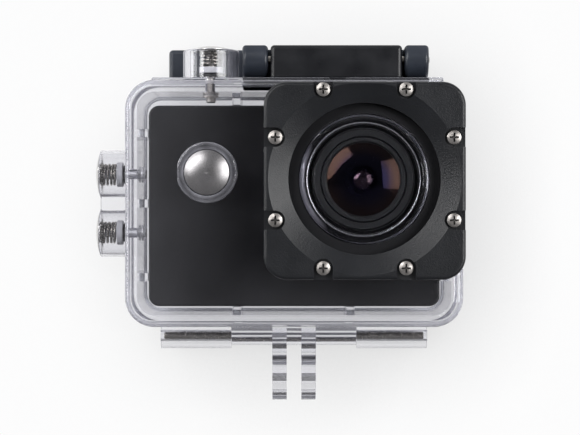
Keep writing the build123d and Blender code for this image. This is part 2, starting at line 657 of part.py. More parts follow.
def make_plunger(name, plunger):
    """Cap, stem, spring, collar, seal ring and retaining clip of one push button."""
    seat = plunger["seat"]
    axis = Axis(seat.origin, seat.z_dir)
    collar, spring_foot, cap_under, cap_top = stack(plunger)
    cap_r = plunger["cap_r"]
    clip_top = -plunger["wall"] - CLIP_GAP

    with BuildPart() as cap:
        with BuildSketch(half_section(seat)):
            with BuildLine():
                shoulder = cap_under + plunger["crown"] * 0.25
                hem = cap_under - plunger["skirt"]
                Polyline(
                    (0, cap_top), (0, cap_under + HEAD_T + 0.01), (HEAD_R + 0.01, cap_under + HEAD_T + 0.01),
                    (HEAD_R + 0.01, cap_under), (CAP_BORE_R, cap_under), (CAP_BORE_R, hem),
                    (cap_r, hem), (cap_r, shoulder),
                )
                crown_arc(cap_r, shoulder, cap_top - shoulder)
            make_face()
        revolve(axis=axis)
    save(cap, f"{name}_button_cap")

    with BuildPart() as stem:
        with BuildSketch(half_section(seat)):
            with BuildLine():
                Polyline(
                    (0, cap_under + HEAD_T), (0, clip_top - plunger["reach"]),
                    (STEM_R - 0.2, clip_top - plunger["reach"]),
                    (STEM_R, clip_top - plunger["reach"] + 0.2), (STEM_R, clip_top - CLIP_T),
                    (GROOVE_R, clip_top - CLIP_T), (GROOVE_R, clip_top), (STEM_R, clip_top),
                    (STEM_R, cap_under), (HEAD_R, cap_under), (HEAD_R, cap_under + HEAD_T),
                    close=True,
                )
            make_face()
        revolve(axis=axis)
    save(stem, f"{name}_button_stem")

    with BuildPart() as spring:
        wire = plunger["wire_r"]
        height = plunger["spring_h"] - 2 * wire
        with BuildLine() as path:
            Helix(
                pitch=height / plunger["coils"], height=height, radius=SPRING_R,
                center=seat.offset(spring_foot + wire).origin, direction=seat.z_dir,
            )
        with BuildSketch(Plane(origin=path.line @ 0, z_dir=path.line % 0)):
            Circle(wire)
        sweep(path=path.line, is_frenet=True)
    save(spring, f"{name}_button_spring")

    with BuildPart() as collar_ring:
        ring(seat, collar, spring_foot, SPRING_R + 0.45, STEM_R + FIT)
        chamfer(collar_ring.edges().filter_by(GeomType.CIRCLE).sort_by(SortBy.RADIUS)[-2:], 0.12)
    save(collar_ring, f"{name}_button_collar")

    with BuildPart() as seal:
        with BuildSketch(half_section(seat)):
            with Locations((STEM_R + FIT + O_RING_R, BOSS_T + O_RING_R)):
                Circle(O_RING_R)
        revolve(axis=axis)
    save(seal, f"{name}_button_seal")

    with BuildPart() as clip:
        ring(seat, clip_top - CLIP_T, clip_top, CLIP_R, GROOVE_R + 0.02)
        with BuildSketch(seat.offset(clip_top)):
            with Locations((CLIP_R, 0)):
                Rectangle(2 * CLIP_R, 1.3)
        extrude(amount=-CLIP_T, mode=Mode.SUBTRACT)
    save(clip, f"{name}_button_clip")


for name, plunger in PLUNGERS.items():
    make_plunger(name, plunger)


# ---------------------------------------------------------------- camera: body
def stem_end(name):
    """Seat plane moved to the inner end of a plunger's stem."""
    plunger = PLUNGERS[name]
    return plunger["seat"].offset(-plunger["wall"] - CLIP_GAP - plunger["reach"])


KEY_R = 3.2
KEY_HOLE_ABOVE = 2.2
KEY_FACE = {name: stem_end(name).offset(-KEY_GAP) for name in PLUNGERS}
BATTERY_X = (-25.1, 4.1)
BATTERY_Y = (-7.4, 2.6)
BATTERY_Z = (15.0, 48.4)
HATCH_X = (-25.4, 4.4)
HATCH_Y = (-8.4, 3.2)
HATCH_GAP = 0.15
SOCKET_Z = (19.5, 27.0)
SOCKET_Y = (5.5, 8.5)
CASE_SCREW_X = 27.0
CASE_SCREW_Z = 17.9
CASE_SCREW_R = 0.7
CASE_POST_R = 1.7
CASE_HEAD_R = 1.2
CASE_HEAD_SUNK = 0.9


def camera_outline(inset):
    """Rounded outline of the camera body, inset all round."""
    with Locations((0, CAM_Z)):
        RectangleRounded(CAM_W - 2 * inset, CAM_H - 2 * inset, max(CAM_R - inset, 0.5))


def case_screw_spots():
    """Four corners of the camera body that hold its case screws."""
    return [(x, CAM_Z + z) for x in (-CASE_SCREW_X, CASE_SCREW_X) for z in (-CASE_SCREW_Z, CASE_SCREW_Z)]


def cut_key_holes(names):
    """Clearance holes of camera keys through whichever wall they cross."""
    for name in names:
        with BuildSketch(KEY_FACE[name].offset(KEY_HOLE_ABOVE)) as hole:
            Circle(KEY_R + 0.12)
        extrude(hole.sketch, amount=-KEY_HOLE_ABOVE - CAM_WALL - PLATE_T, mode=Mode.SUBTRACT)


with BuildPart() as camera_front_case:
    with BuildSketch(at_depth(CAM_SPLIT)):
        camera_outline(0)
    extrude(amount=CAM_SPLIT - CAM_FRONT - PLATE_T)
    with BuildSketch(at_depth(CAM_SPLIT)):
        camera_outline(CAM_WALL)
    extrude(amount=CAM_SPLIT - CAM_FRONT - PLATE_T - CAM_WALL, mode=Mode.SUBTRACT)
    with BuildSketch(at_depth(CAM_SPLIT)):
        with Locations(*case_screw_spots()):
            Circle(CASE_POST_R)
    extrude(amount=CAM_SPLIT - CAM_FRONT - PLATE_T - 0.5)
    with BuildSketch(at_depth(CAM_SPLIT)):
        with Locations(*case_screw_spots()):
            Circle(CASE_SCREW_R + FIT)
    extrude(amount=6, mode=Mode.SUBTRACT)
    with BuildSketch(LENS_AXIS.offset(-CAM_FRONT)):
        Circle(BARREL_TAIL_R + 0.2)
    extrude(amount=-4, mode=Mode.SUBTRACT)
    cut_key_holes(PLUNGERS)
    block(HATCH_X, HATCH_Y, (CAM_BOTTOM - 1, CAM_BOTTOM + CAM_WALL + 0.1), Mode.SUBTRACT)
save(camera_front_case, "camera_front_case")

with BuildPart() as camera_front_plate:
    with BuildSketch(at_depth(CAM_FRONT + PLATE_T)):
        camera_outline(0)
        with Locations((LENS_X, LENS_Z)):
            Circle(BEZEL_FLANGE_R + 0.1, mode=Mode.SUBTRACT)
    extrude(amount=PLATE_T)
    fillet(camera_front_plate.faces().sort_by(Axis.Y)[0].outer_wire().edges(), 0.5)
    cut_key_holes(["power"])
save(camera_front_plate, "camera_front_plate")

DISPLAY_W = 42.0
DISPLAY_H = 31.0
WINDOW_W = 50.0
WINDOW_H = 36.0
WINDOW_T = 0.8
with BuildPart() as camera_rear_case:
    with BuildSketch(at_depth(CAM_REAR)):
        camera_outline(0)
    extrude(amount=CAM_REAR - CAM_SPLIT)
    fillet(camera_rear_case.faces().sort_by(Axis.Y)[-1].edges(), 1.0)
    with BuildSketch(at_depth(CAM_REAR - CAM_WALL)):
        camera_outline(CAM_WALL)
    extrude(amount=CAM_REAR - CAM_WALL - CAM_SPLIT, mode=Mode.SUBTRACT)
    with BuildSketch(at_depth(CAM_REAR)):
        with Locations((0, CAM_Z)):
            RectangleRounded(WINDOW_W + 0.2, WINDOW_H + 0.2, 1.6)
    extrude(amount=WINDOW_T, mode=Mode.SUBTRACT)
    with BuildSketch(at_depth(CAM_REAR)):
        with Locations((0, CAM_Z)):
            Rectangle(DISPLAY_W + 0.4, DISPLAY_H + 0.4)
    extrude(amount=CAM_WALL, mode=Mode.SUBTRACT)
    with BuildSketch(at_depth(CAM_REAR - CAM_WALL)):
        with Locations(*case_screw_spots()):
            Circle(CASE_POST_R)
    extrude(amount=CAM_REAR - CAM_WALL - CAM_SPLIT)
    with BuildSketch(at_depth(CAM_REAR)):
        with Locations(*case_screw_spots()):
            Circle(CASE_SCREW_R + FIT)
    extrude(amount=CAM_REAR - CAM_SPLIT, mode=Mode.SUBTRACT)
    with BuildSketch(at_depth(CAM_REAR)):
        with Locations(*case_screw_spots()):
            Circle(CASE_HEAD_R + 0.1)
    extrude(amount=CASE_HEAD_SUNK, mode=Mode.SUBTRACT)
    block((CAM_W / 2 - 2, CAM_W / 2 + 1), SOCKET_Y, SOCKET_Z, Mode.SUBTRACT)
save(camera_rear_case, "camera_rear_case")

with BuildPart() as camera_case_screws:
    with BuildSketch(at_depth(CAM_REAR - CASE_HEAD_SUNK)):
        with Locations(*case_screw_spots()):
            Circle(CASE_HEAD_R)
    extrude(amount=-CASE_HEAD_SUNK + 0.2)
    with BuildSketch(at_depth(CAM_REAR - CASE_HEAD_SUNK)):
        with Locations(*case_screw_spots()):
            Circle(CASE_SCREW_R)
    extrude(amount=CAM_REAR - CASE_HEAD_SUNK - CAM_SPLIT + 5)
    with BuildSketch(at_depth(CAM_REAR - 0.2)):
        with Locations(*case_screw_spots()):
            Rectangle(1.4, 0.3)
            Rectangle(0.3, 1.4)
    extrude(amount=0.4, mode=Mode.SUBTRACT)
save(camera_case_screws, "camera_case_screws")


# ---------------------------------------------------------------- camera: keys
def make_key(name, node):
    """Push key: a crowned disc through the wall with a retaining flange inside."""
    face = KEY_FACE[name]
    wall = CAM_WALL
    if name == "power":
        wall = CAM_FRONT + PLATE_T + CAM_WALL - face.origin.Y
    depth = wall + 0.25
    with BuildPart() as key:
        with BuildSketch(face):
            Circle(KEY_R)
        extrude(amount=-depth - KEY_FLANGE)
        fillet(key.faces().sort_by(Axis(face.origin, face.z_dir))[-1].edges(), 0.15)
        with BuildSketch(face.offset(-depth)):
            Circle(KEY_R + 0.6)
        extrude(amount=-KEY_FLANGE)
    save(key, node)


for name in PLUNGERS:
    make_key(name, f"camera_{name}_key")


# ---------------------------------------------------------------- camera: lens
LENS_SPIN = Axis(LENS_AXIS.origin, LENS_AXIS.z_dir)
with BuildPart() as lens_bezel:
    foot = -CAM_FRONT - PLATE_T
    bulge = BEZEL_FLANGE_R - BEZEL_R
    bulge_foot = -BEZEL_SHOULDER - bulge
    slant = bulge * math.sqrt(0.5)
    with BuildSketch(half_section(LENS_AXIS)):
        with BuildLine():
            Polyline(
                (BEZEL_R, -BEZEL_SHOULDER), (BEZEL_R, -BEZEL_FRONT - 0.15),
                (BEZEL_R - 0.15, -BEZEL_FRONT), (BEZEL_R - BEZEL_RIM + 0.15, -BEZEL_FRONT),
                (BEZEL_R - BEZEL_RIM, -BEZEL_FRONT - 0.15),
                (BEZEL_R - BEZEL_RIM, -BEZEL_FRONT - BEZEL_STEP),
                (BARREL_R + 0.1, -BEZEL_FRONT - BEZEL_STEP), (BARREL_R + 0.1, foot),
                (BEZEL_FLANGE_R, foot), (BEZEL_FLANGE_R, bulge_foot),
            )
            ThreePointArc(
                (BEZEL_FLANGE_R, bulge_foot), (BEZEL_R + slant, bulge_foot + slant),
                (BEZEL_R, -BEZEL_SHOULDER),
            )
        make_face()
    revolve(axis=LENS_SPIN)
save(lens_bezel, "lens_bezel")

with BuildPart() as lens_barrel:
    with BuildSketch(half_section(LENS_AXIS)):
        with BuildLine():
            Polyline(
                (FRONT_GLASS_R + 0.02, -BARREL_FRONT - 0.9), (FRONT_GLASS_R + 0.02, -BARREL_FRONT - 0.3),
                (FRONT_GLASS_R + 0.4, -BARREL_FRONT), (BARREL_GROOVE_R - 0.2, -BARREL_FRONT),
                (BARREL_GROOVE_R, -BARREL_FRONT - 0.35), (BARREL_GROOVE_R + 0.2, -BARREL_FRONT),
                (BARREL_R - 0.4, -BARREL_FRONT), (BARREL_R, -BARREL_FRONT - 0.4),
                (BARREL_R, -CAM_FRONT - PLATE_T + 0.05), (BARREL_TAIL_R, -CAM_FRONT - PLATE_T + 0.05),
                (BARREL_TAIL_R, -BARREL_REAR), (5.6, -BARREL_REAR), (5.6, 10.6), (4.7, 10.6),
                (4.7, 14.2), (6.6, 16.6), (6.6, -BARREL_FRONT - 0.9), close=True,
            )
        make_face()
    revolve(axis=LENS_SPIN)
save(lens_barrel, "lens_barrel")


def lens_element(radius, edge_low, edge_high, front_rise, back_rise):
    """Round glass with curved faces: rises are positive outwards along the lens axis."""
    with BuildSketch(half_section(LENS_AXIS)) as section:
        with BuildLine():
            Line((0, edge_low + back_rise), (0, edge_high + front_rise))
            crown_arc(radius, edge_high, front_rise)
            Line((radius, edge_high), (radius, edge_low))
            crown_arc(radius, edge_low, back_rise)
        make_face()
    revolve(section.sketch, axis=LENS_SPIN)


with BuildPart() as lens_front_element:
    lens_element(FRONT_GLASS_R, -BARREL_FRONT - 0.89, -BARREL_FRONT - 0.35, 1.5, 0.7)
save(lens_front_element, "lens_front_element")

with BuildPart() as lens_inner_element:
    lens_element(4.68, 12.4, 13.3, 0.8, 0.3)
save(lens_inner_element, "lens_inner_element")

with BuildPart() as lens_rear_element:
    lens_element(5.58, 4.4, 6.0, 0.6, -0.5)
save(lens_rear_element, "lens_rear_element")


# ---------------------------------------------------------------- camera: inside
SENSOR_BOARD_Y = (0.2, 1.2)
with BuildPart() as image_sensor:
    block((LENS_X - 5.5, LENS_X + 5.5), (-1.4, SENSOR_BOARD_Y[0]), (LENS_Z - 4.8, LENS_Z + 4.8))
    fillet(image_sensor.edges().filter_by(Axis.Y), 0.4)
save(image_sensor, "image_sensor")

with BuildPart() as sensor_board:
    block((LENS_X - 8.5, LENS_X + 11.5), SENSOR_BOARD_Y, (LENS_Z - 9.5, LENS_Z + 9.5))
    fillet(sensor_board.edges().filter_by(Axis.Y), 1.0)
save(sensor_board, "sensor_board")

BOARD_Y = (4.3, 5.4)
with BuildPart() as main_board:
    with BuildSketch(at_depth(BOARD_Y[1])):
        with Locations((0, CAM_Z)):
            RectangleRounded(54.4, 36.4, 1.5)
        with Locations(*case_screw_spots()):
            Circle(CASE_POST_R + 0.3, mode=Mode.SUBTRACT)
    extrude(amount=BOARD_Y[1] - BOARD_Y[0])
    for x, z, width, height, tall in (
        (16.0, 38.0, 11.0, 11.0, 1.1), (4.0, 40.0, 7.0, 9.0, 0.9), (-8.0, 44.0, 5.0, 4.0, 0.8),
        (-16.0, 30.0, 6.0, 5.0, 1.0), (8.0, 22.0, 8.0, 4.0, 1.2),
    ):
        chip_x = (x - width / 2, x + width / 2)
        chip_z = (z - height / 2, z + height / 2)
        block(chip_x, (BOARD_Y[0] - tall, BOARD_Y[0]), chip_z)
save(main_board, "main_board")

with BuildPart() as battery:
    block(BATTERY_X, BATTERY_Y, BATTERY_Z)
    fillet(battery.edges().filter_by(Axis.Z), 1.2)
    for x in (-21.0, -17.0, -13.0):
        block((x, x + 2.4), (-4.6, -2.4), (BATTERY_Z[1], BATTERY_Z[1] + 0.1))
save(battery, "battery")

with BuildPart() as battery_door:
    block(
        (HATCH_X[0] + HATCH_GAP, HATCH_X[1] - HATCH_GAP),
        (HATCH_Y[0] + HATCH_GAP, HATCH_Y[1] - HATCH_GAP), (CAM_BOTTOM, CAM_BOTTOM + CAM_WALL),
    )
    fillet(battery_door.edges().filter_by(Axis.Z), 1.0)
    with Locations((HATCH_X[0] + 5, (HATCH_Y[0] + HATCH_Y[1]) / 2, CAM_BOTTOM)):
        Cylinder(2.2, 1.2, mode=Mode.SUBTRACT)
save(battery_door, "battery_door")

with BuildPart() as display_panel:
    half_w = DISPLAY_W / 2
    half_h = DISPLAY_H / 2
    block((-half_w, half_w), (CAM_REAR - 3.4, CAM_REAR - 1.0), (CAM_Z - half_h, CAM_Z + half_h))
save(display_panel, "display_panel")

with BuildPart() as display_window:
    with BuildSketch(at_depth(CAM_REAR)):
        with Locations((0, CAM_Z)):
            RectangleRounded(WINDOW_W, WINDOW_H, 1.5)
    extrude(amount=WINDOW_T - 0.02)
save(display_window, "display_window")

with BuildPart() as speaker:
    with BuildSketch(at_depth(-5.6)):
        with Locations((18.5, 21.4)):
            Circle(5.0)
    extrude(amount=3.4)
    fillet(speaker.edges().filter_by(GeomType.CIRCLE), 0.5)
save(speaker, "speaker")

with BuildPart() as memory_card:
    with BuildSketch(at_depth(2.9)):
        with Locations((18.5, 24.4)):
            RectangleRounded(15.0, 11.0, 0.7)
    extrude(amount=1.0)
save(memory_card, "memory_card")

with BuildPart() as usb_socket:
    block((CAM_W / 2 - 5.6, CAM_W / 2 - 0.3), (5.6, 8.4), (19.6, 26.9))
    block((CAM_W / 2 - 4.3, CAM_W / 2), (6.1, 7.9), (20.1, 26.4), Mode.SUBTRACT)
    block((CAM_W / 2 - 4.8, CAM_W / 2 - 1.0), (6.7, 7.3), (20.9, 25.6))
save(usb_socket, "usb_socket")
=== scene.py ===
"""Looks for the action camera in its clear dive housing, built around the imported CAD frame."""
import json
import math

import bmesh
import bpy
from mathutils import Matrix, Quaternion, Vector


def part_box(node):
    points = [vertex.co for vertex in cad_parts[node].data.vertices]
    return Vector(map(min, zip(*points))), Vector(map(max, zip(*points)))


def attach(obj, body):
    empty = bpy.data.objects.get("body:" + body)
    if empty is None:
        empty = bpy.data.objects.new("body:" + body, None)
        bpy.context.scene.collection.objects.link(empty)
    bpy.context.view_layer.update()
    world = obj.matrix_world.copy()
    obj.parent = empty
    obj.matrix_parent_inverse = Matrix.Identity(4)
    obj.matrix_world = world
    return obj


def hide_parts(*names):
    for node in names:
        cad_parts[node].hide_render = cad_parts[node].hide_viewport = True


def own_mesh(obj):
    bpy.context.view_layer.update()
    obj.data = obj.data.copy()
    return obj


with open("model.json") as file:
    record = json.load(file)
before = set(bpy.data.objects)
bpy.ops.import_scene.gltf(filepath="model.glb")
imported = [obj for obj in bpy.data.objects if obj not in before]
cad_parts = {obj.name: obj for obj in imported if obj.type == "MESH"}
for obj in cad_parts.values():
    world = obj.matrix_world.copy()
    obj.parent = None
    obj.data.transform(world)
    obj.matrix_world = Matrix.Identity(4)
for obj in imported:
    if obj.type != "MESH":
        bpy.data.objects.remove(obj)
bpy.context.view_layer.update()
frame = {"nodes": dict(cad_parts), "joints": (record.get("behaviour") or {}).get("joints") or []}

MM = 0.001
NODES = frame["nodes"]
BUTTONS = ("shutter", "power", "up", "down")
FULL_EDGE_BEND = 0.12  # how far a normal bends on an edge that gets the full edge mask

# Button springs: wire radius in mm, turns, and mesh steps along and around the wire.
WIRE_R = 0.26
POWER_WIRE_R = 0.14
TURNS = 4.5
POWER_TURNS = 3.6
CLOSED_CLIMB = 0.98  # climb of a closed end turn, as a share of the wire's thickness
SPRING_STEPS = 170
WIRE_SIDES = 10

# Front element: radius of its see-through middle, the width of the blend on either side of that
# radius and the black painted beyond it, a painted shade for the dark inside of the lens; then the
# tint of the two elements further in.
CLEAR_MIDDLE = 2.6 * MM
BLEND = 0.6 * MM
PAINTED_LENS_SHADE = (0.002, 0.002, 0.003)
DARK_GLASS = (0.3, 0.28, 0.34)

# Baffle and bead behind the front element, in mm: radii, and depths along Y. A trim ring has its
# radius, its depth and the radius of its own round section.
BAFFLE_STEPS = 4
BAFFLE_OUTER_R = 6.45
BAFFLE_INNER_R = 2.35
BAFFLE_FRONT = -16.7
BAFFLE_BACK = -15.0
BAFFLE_WALL = 0.25
BEAD_R = 2.2
BEAD_BEND_R = 3.2
BEAD_GAP = 0.1
BEAD_BACK = 0.3
BEAD_BANDS = 12
TINY_R = 0.01
RIM_SIDES = 12
BEZEL_TRIM = (11.52, -18.42, 0.10)
MOUTH_TRIM = (12.98, -17.1, 0.07)

# Straight-on view of the front from a little under half a metre, through a long lens.
VIEW_X = -0.85 * MM
VIEW_Z = 31.2 * MM
VIEW_DISTANCE = 438 * MM
FRAME_WIDTH_PX = 580
FOCAL_PX = 2060
SENSOR_MM = 36.0

# Stage, in metres, with the glow of its wall and card, and the world's strength by direction.
FLOOR_Z = -60 * MM
FLOOR_HALF = 2.5
WALL_Y = 85 * MM
WALL_HALF = 0.9
WALL_TOP = 0.8
WALL_GLOW = 0.985
WALL_GLOW_OBLIQUE = 0.86
SHADE_CARD_Y = 21.5 * MM
SHADE_CARD_HALF = 150 * MM
SHADE_CARD_TOP = 180 * MM
SHADE_DEEPEST = 0.68
SHADE_REACH = 26 * MM
OPEN_DIRECTION = (-0.42, -0.80, 0.42)
GLOW_CARD_Y = -460 * MM
GLOW_CARD_SIDES = (-0.12, 0.06)
GLOW_CARD_HEIGHTS = (-0.06, 0.12)
GLOW_CARD_STRENGTH = 0.42
WORLD_LEVEL = 0.27
WORLD_SLOPES = (("X", -0.06), ("Y", 0.19), ("Z", 0.26))
WORLD_LOWEST = 0.05


# ---------------------------------------------------------------- node helpers
class Shader:
    """A small builder for one node material: every texture reads the row frame in metres."""

    def __init__(self, name):
        self.material = bpy.data.materials.new(name)
        self.material.use_nodes = True
        self.tree = self.material.node_tree
        self.tree.nodes.clear()
        self.output = self.add("ShaderNodeOutputMaterial")
        self.coords = self.add("ShaderNodeTexCoord").outputs["Object"]

    def add(self, kind, **settings):
        """Adds a node; keyword settings are its attributes."""
        node = self.tree.nodes.new(kind)
        for key, value in settings.items():
            setattr(node, key, value)
        return node

    def link(self, source, target):
        self.tree.links.new(source, target)

    def feed(self, node, **values):
        """Sets or links inputs by name, with underscores standing for spaces."""
        for key, value in values.items():
            socket = node.inputs[key.replace("_", " ")]
            if isinstance(value, bpy.types.NodeSocket):
                self.link(value, socket)
            else:
                socket.default_value = value
        return node

    def math(self, operation, first, second=0.0, clamp=False):
        """One sum on two values or sockets."""
        node = self.add("ShaderNodeMath", operation=operation, use_clamp=clamp)
        for index, value in enumerate((first, second)):
            if isinstance(value, bpy.types.NodeSocket):
                self.link(value, node.inputs[index])
            else:
                node.inputs[index].default_value = value
        return node.outputs[0]

    def scaled(self, stretch):
        """The coordinates stretched per axis, for grain that runs one way."""
        node = self.add("ShaderNodeMapping")
        self.feed(node, Vector=self.coords, Scale=stretch)
        return node.outputs["Vector"]

    def noise(self, size, detail=4.0, rough=0.55, vector=None):
        """Noise whose features are about size metres across, from 0 to 1."""
        node = self.add("ShaderNodeTexNoise")
        self.feed(node, Vector=vector or self.coords, Scale=1.0 / size, Detail=detail, Roughness=rough)
        return node.outputs["Fac"]

    def cells(self, size):
        """Distance to the nearest of scattered points about size metres apart."""
        node = self.add("ShaderNodeTexVoronoi")
        self.feed(node, Vector=self.coords, Scale=1.0 / size)
        return node.outputs["Distance"]

    def span(self, value, low, high, from_low=0.0, from_high=1.0):
        """Maps a value from one range onto another."""
        node = self.add("ShaderNodeMapRange")
        self.feed(node, Value=value, From_Min=from_low, From_Max=from_high, To_Min=low, To_Max=high)
        return node.outputs["Result"]

    def mix(self, share, first, second):
        """Blend of two colours by a share."""
        node = self.add("ShaderNodeMix", data_type="RGBA")
        for socket, value in zip((node.inputs[0], node.inputs[6], node.inputs[7]), (share, first, second)):
            if isinstance(value, bpy.types.NodeSocket):
                self.link(value, socket)
            elif isinstance(value, tuple):
                socket.default_value = (*value[:3], 1.0)
            else:
                socket.default_value = value
        return node.outputs[2]

    def bump(self, height, distance, strength, normal=None):
        """Normal bent by a height, on top of another normal where one is given."""
        node = self.add("ShaderNodeBump")
        self.feed(node, Height=height, Distance=distance, Strength=strength)
        if normal is not None:
            self.link(normal, node.inputs["Normal"])
        return node.outputs["Normal"]

    def edges(self, radius=0.12 * MM):
        """Mask that rises to 1 on outer and inner corners, for rubbed wear and painted edge highlights."""
        bevel = self.add("ShaderNodeBevel", samples=4)
        bevel.inputs["Radius"].default_value = radius
        geometry = self.add("ShaderNodeNewGeometry")
        dot = self.add("ShaderNodeVectorMath", operation="DOT_PRODUCT")
        self.link(bevel.outputs["Normal"], dot.inputs[0])
        self.link(geometry.outputs["Normal"], dot.inputs[1])
        bend = self.math("SUBTRACT", 1.0, dot.outputs["Value"])
        return self.span(bend, 0.0, 1.0, 0.0, FULL_EDGE_BEND)

    def principled(self, **values):
        return self.feed(self.add("ShaderNodeBsdfPrincipled"), **values)

    def finish(self, shader):
        self.link(shader, self.output.inputs["Surface"])
        return self.material


def rgb(red, green, blue):
    return (red, green, blue, 1.0)


# ---------------------------------------------------------------- materials
def clear_plastic(
    name, guard_centre, tint=(0.965, 0.965, 0.985), haze=0.015, ripple=0.2,
    shade=(0.93, 0.93, 0.95), edge_highlight=0.26,
):
    """Polished polycarbonate: refracts, with flow marks and hairline scratches, and with a milky veil,
    lit by the lamps, on edges seen at a slant and on the guard rims: painted highlight for light caught
    inside them.

    Shadow rays and diffuse rays pass straight through it, with the shade's tint.
    """
    s = Shader(name)
    scratches = s.noise(0.5 * MM, 3.0, 0.7, s.scaled((1.0, 1.0, 14.0)))
    fine = s.span(scratches, 0.0, 1.0, 0.66, 0.74)
    haze_spots = s.noise(3.5 * MM, 5.0, 0.6)
    rough = s.math("ADD", s.span(haze_spots, 0.0, haze, 0.45, 0.75), s.math("MULTIPLY", fine, 0.02))
    flow = s.noise(7.0 * MM, 2.0, 0.4)
    normal = s.bump(flow, 0.02 * MM, ripple)
    normal = s.bump(fine, 0.0002 * MM, 0.4, normal)
    glass = s.principled(
        Base_Color=rgb(*tint), Roughness=rough, IOR=1.57, Transmission_Weight=1.0, Normal=normal
    )
    passing = s.feed(s.add("ShaderNodeBsdfTransparent"), Color=rgb(*shade))
    path = s.add("ShaderNodeLightPath")
    through = s.math("MAXIMUM", path.outputs["Is Shadow Ray"], path.outputs["Is Diffuse Ray"])
    # Painted highlight: a milky diffuse veil, lit by the lamps, laid on edges seen at a slant and on the
    # guard rims.
    rim = s.add("ShaderNodeLayerWeight")
    rim.inputs["Blend"].default_value = 0.35
    edge_highlight_veil = s.math("MULTIPLY", rim.outputs["Facing"], edge_highlight)
    highlight_veil = s.math("MAXIMUM", edge_highlight_veil, guard_rim_highlight(s, guard_centre))
    highlight_diffuse = s.feed(s.add("ShaderNodeBsdfDiffuse"), Color=rgb(0.80, 0.80, 0.89), Normal=normal)
    highlighted = s.add("ShaderNodeMixShader")
    s.link(highlight_veil, highlighted.inputs[0])
    s.link(glass.outputs[0], highlighted.inputs[1])
    s.link(highlight_diffuse.outputs[0], highlighted.inputs[2])
    blend = s.add("ShaderNodeMixShader")
    s.link(through, blend.inputs[0])
    s.link(highlighted.outputs[0], blend.inputs[1])
    s.link(passing.outputs[0], blend.inputs[2])
    return s.finish(blend.outputs[0])


def guard_rim_highlight(s, centre):
    """Share of lit milky veil on the guard tube around the front button, strongest at its two round edges:
    painted highlight for light caught inside its rim.
    """
    radius = distance_from_axis(s, centre)
    outer = s.span(radius, 1.0, 0.0, 6.05 * MM, 6.35 * MM)
    inner = s.span(radius, 0.0, 1.0, 4.65 * MM, 4.85 * MM)
    band = s.math("MULTIPLY", outer, inner)
    waist = s.math("ABSOLUTE", s.span(radius, -1.0, 1.0, 4.8 * MM, 6.2 * MM))
    depth = s.add("ShaderNodeSeparateXYZ")
    s.link(s.coords, depth.inputs[0])
    in_front = s.span(depth.outputs["Y"], 1.0, 0.0, -16.6 * MM, -16.1 * MM)
    streak = s.span(s.noise(2.6 * MM, 2.0, 0.5), 0.5, 1.3, 0.3, 0.7)
    amount = s.math("MULTIPLY", s.span(waist, 0.08, 0.26), streak)
    return s.math("MULTIPLY", s.math("MULTIPLY", band, in_front), amount, clamp=True)


def moulded_plastic(
    name, colour, rough, grain=0.12, grain_depth=0.02, wear=0.5, specular=0.5, worn=(0.16, 0.165, 0.17)
):
    """Moulded plastic with a spark-eroded grain, mottled sheen and lighter corners, from rubbed wear and,
    on the latch parts, painted edge highlights; sizes in mm.
    """
    s = Shader(name)
    fine = s.noise(grain * MM, 3.0, 0.65)
    pits = s.cells(grain * 1.7 * MM)
    blotch = s.noise(6.0 * MM, 5.0, 0.55)
    edge = s.math("MULTIPLY", s.edges(), s.span(s.noise(1.2 * MM, 4.0, 0.7), 0.2, 1.0, 0.35, 0.65))
    dull = tuple(c * 0.82 for c in colour)
    lively = tuple(c * 1.2 for c in colour)
    base = s.mix(s.span(blotch, 0.0, 1.0, 0.3, 0.7), dull, lively)
    # Corners take the edge colour: rubbed wear, and a painted edge highlight where that colour is light.
    base = s.mix(s.math("MULTIPLY", edge, wear), base, worn)
    sheen = s.math("ADD", s.span(blotch, rough - 0.05, rough + 0.06, 0.3, 0.7), s.span(fine, -0.05, 0.05))
    sheen = s.math("SUBTRACT", sheen, s.math("MULTIPLY", edge, 0.12))
    normal = s.bump(fine, grain_depth * MM, 0.9)
    normal = s.bump(pits, grain_depth * 0.6 * MM, 0.5, normal)
    shader = s.principled(Base_Color=base, Roughness=sheen, Specular_IOR_Level=specular, Normal=normal)
    return s.finish(shader.outputs[0])


def brushed_metal(name, colour, rough=0.28, run=(1.0, 1.0, 1.0), wear=0.4, dark=0.55, recess_shade=0.0):
    """Steel with fine drawn lines, tarnish in patches, rubbed edges and painted shade in its recesses."""
    s = Shader(name)
    lines = s.noise(0.08 * MM, 3.0, 0.7, s.scaled(run))
    patches = s.noise(0.9 * MM, 5.0, 0.6)
    edge = s.edges(0.08 * MM)
    base = s.mix(s.span(patches, 0.0, 1.0, 0.35, 0.7), tuple(c * dark for c in colour), colour)
    base = s.mix(s.math("MULTIPLY", edge, wear), base, (0.9, 0.89, 0.86))
    # Painted shade: the metal is darkened where an ambient occlusion probe finds a recess.
    if recess_shade:
        hollow = s.add("ShaderNodeAmbientOcclusion", samples=8, only_local=True)
        hollow.inputs["Distance"].default_value = 0.6 * MM
        painted_recess_shade = s.span(hollow.outputs["AO"], recess_shade, 0.0, 0.45, 0.95)
        base = s.mix(painted_recess_shade, base, tuple(c * 0.12 for c in colour))
    sheen = s.math("ADD", s.span(patches, rough + 0.1, rough - 0.05, 0.35, 0.7), s.span(lines, -0.06, 0.08))
    normal = s.bump(lines, 0.002 * MM, 0.7)
    shader = s.principled(Base_Color=base, Metallic=1.0, Roughness=sheen, Normal=normal)
    return s.finish(shader.outputs[0])


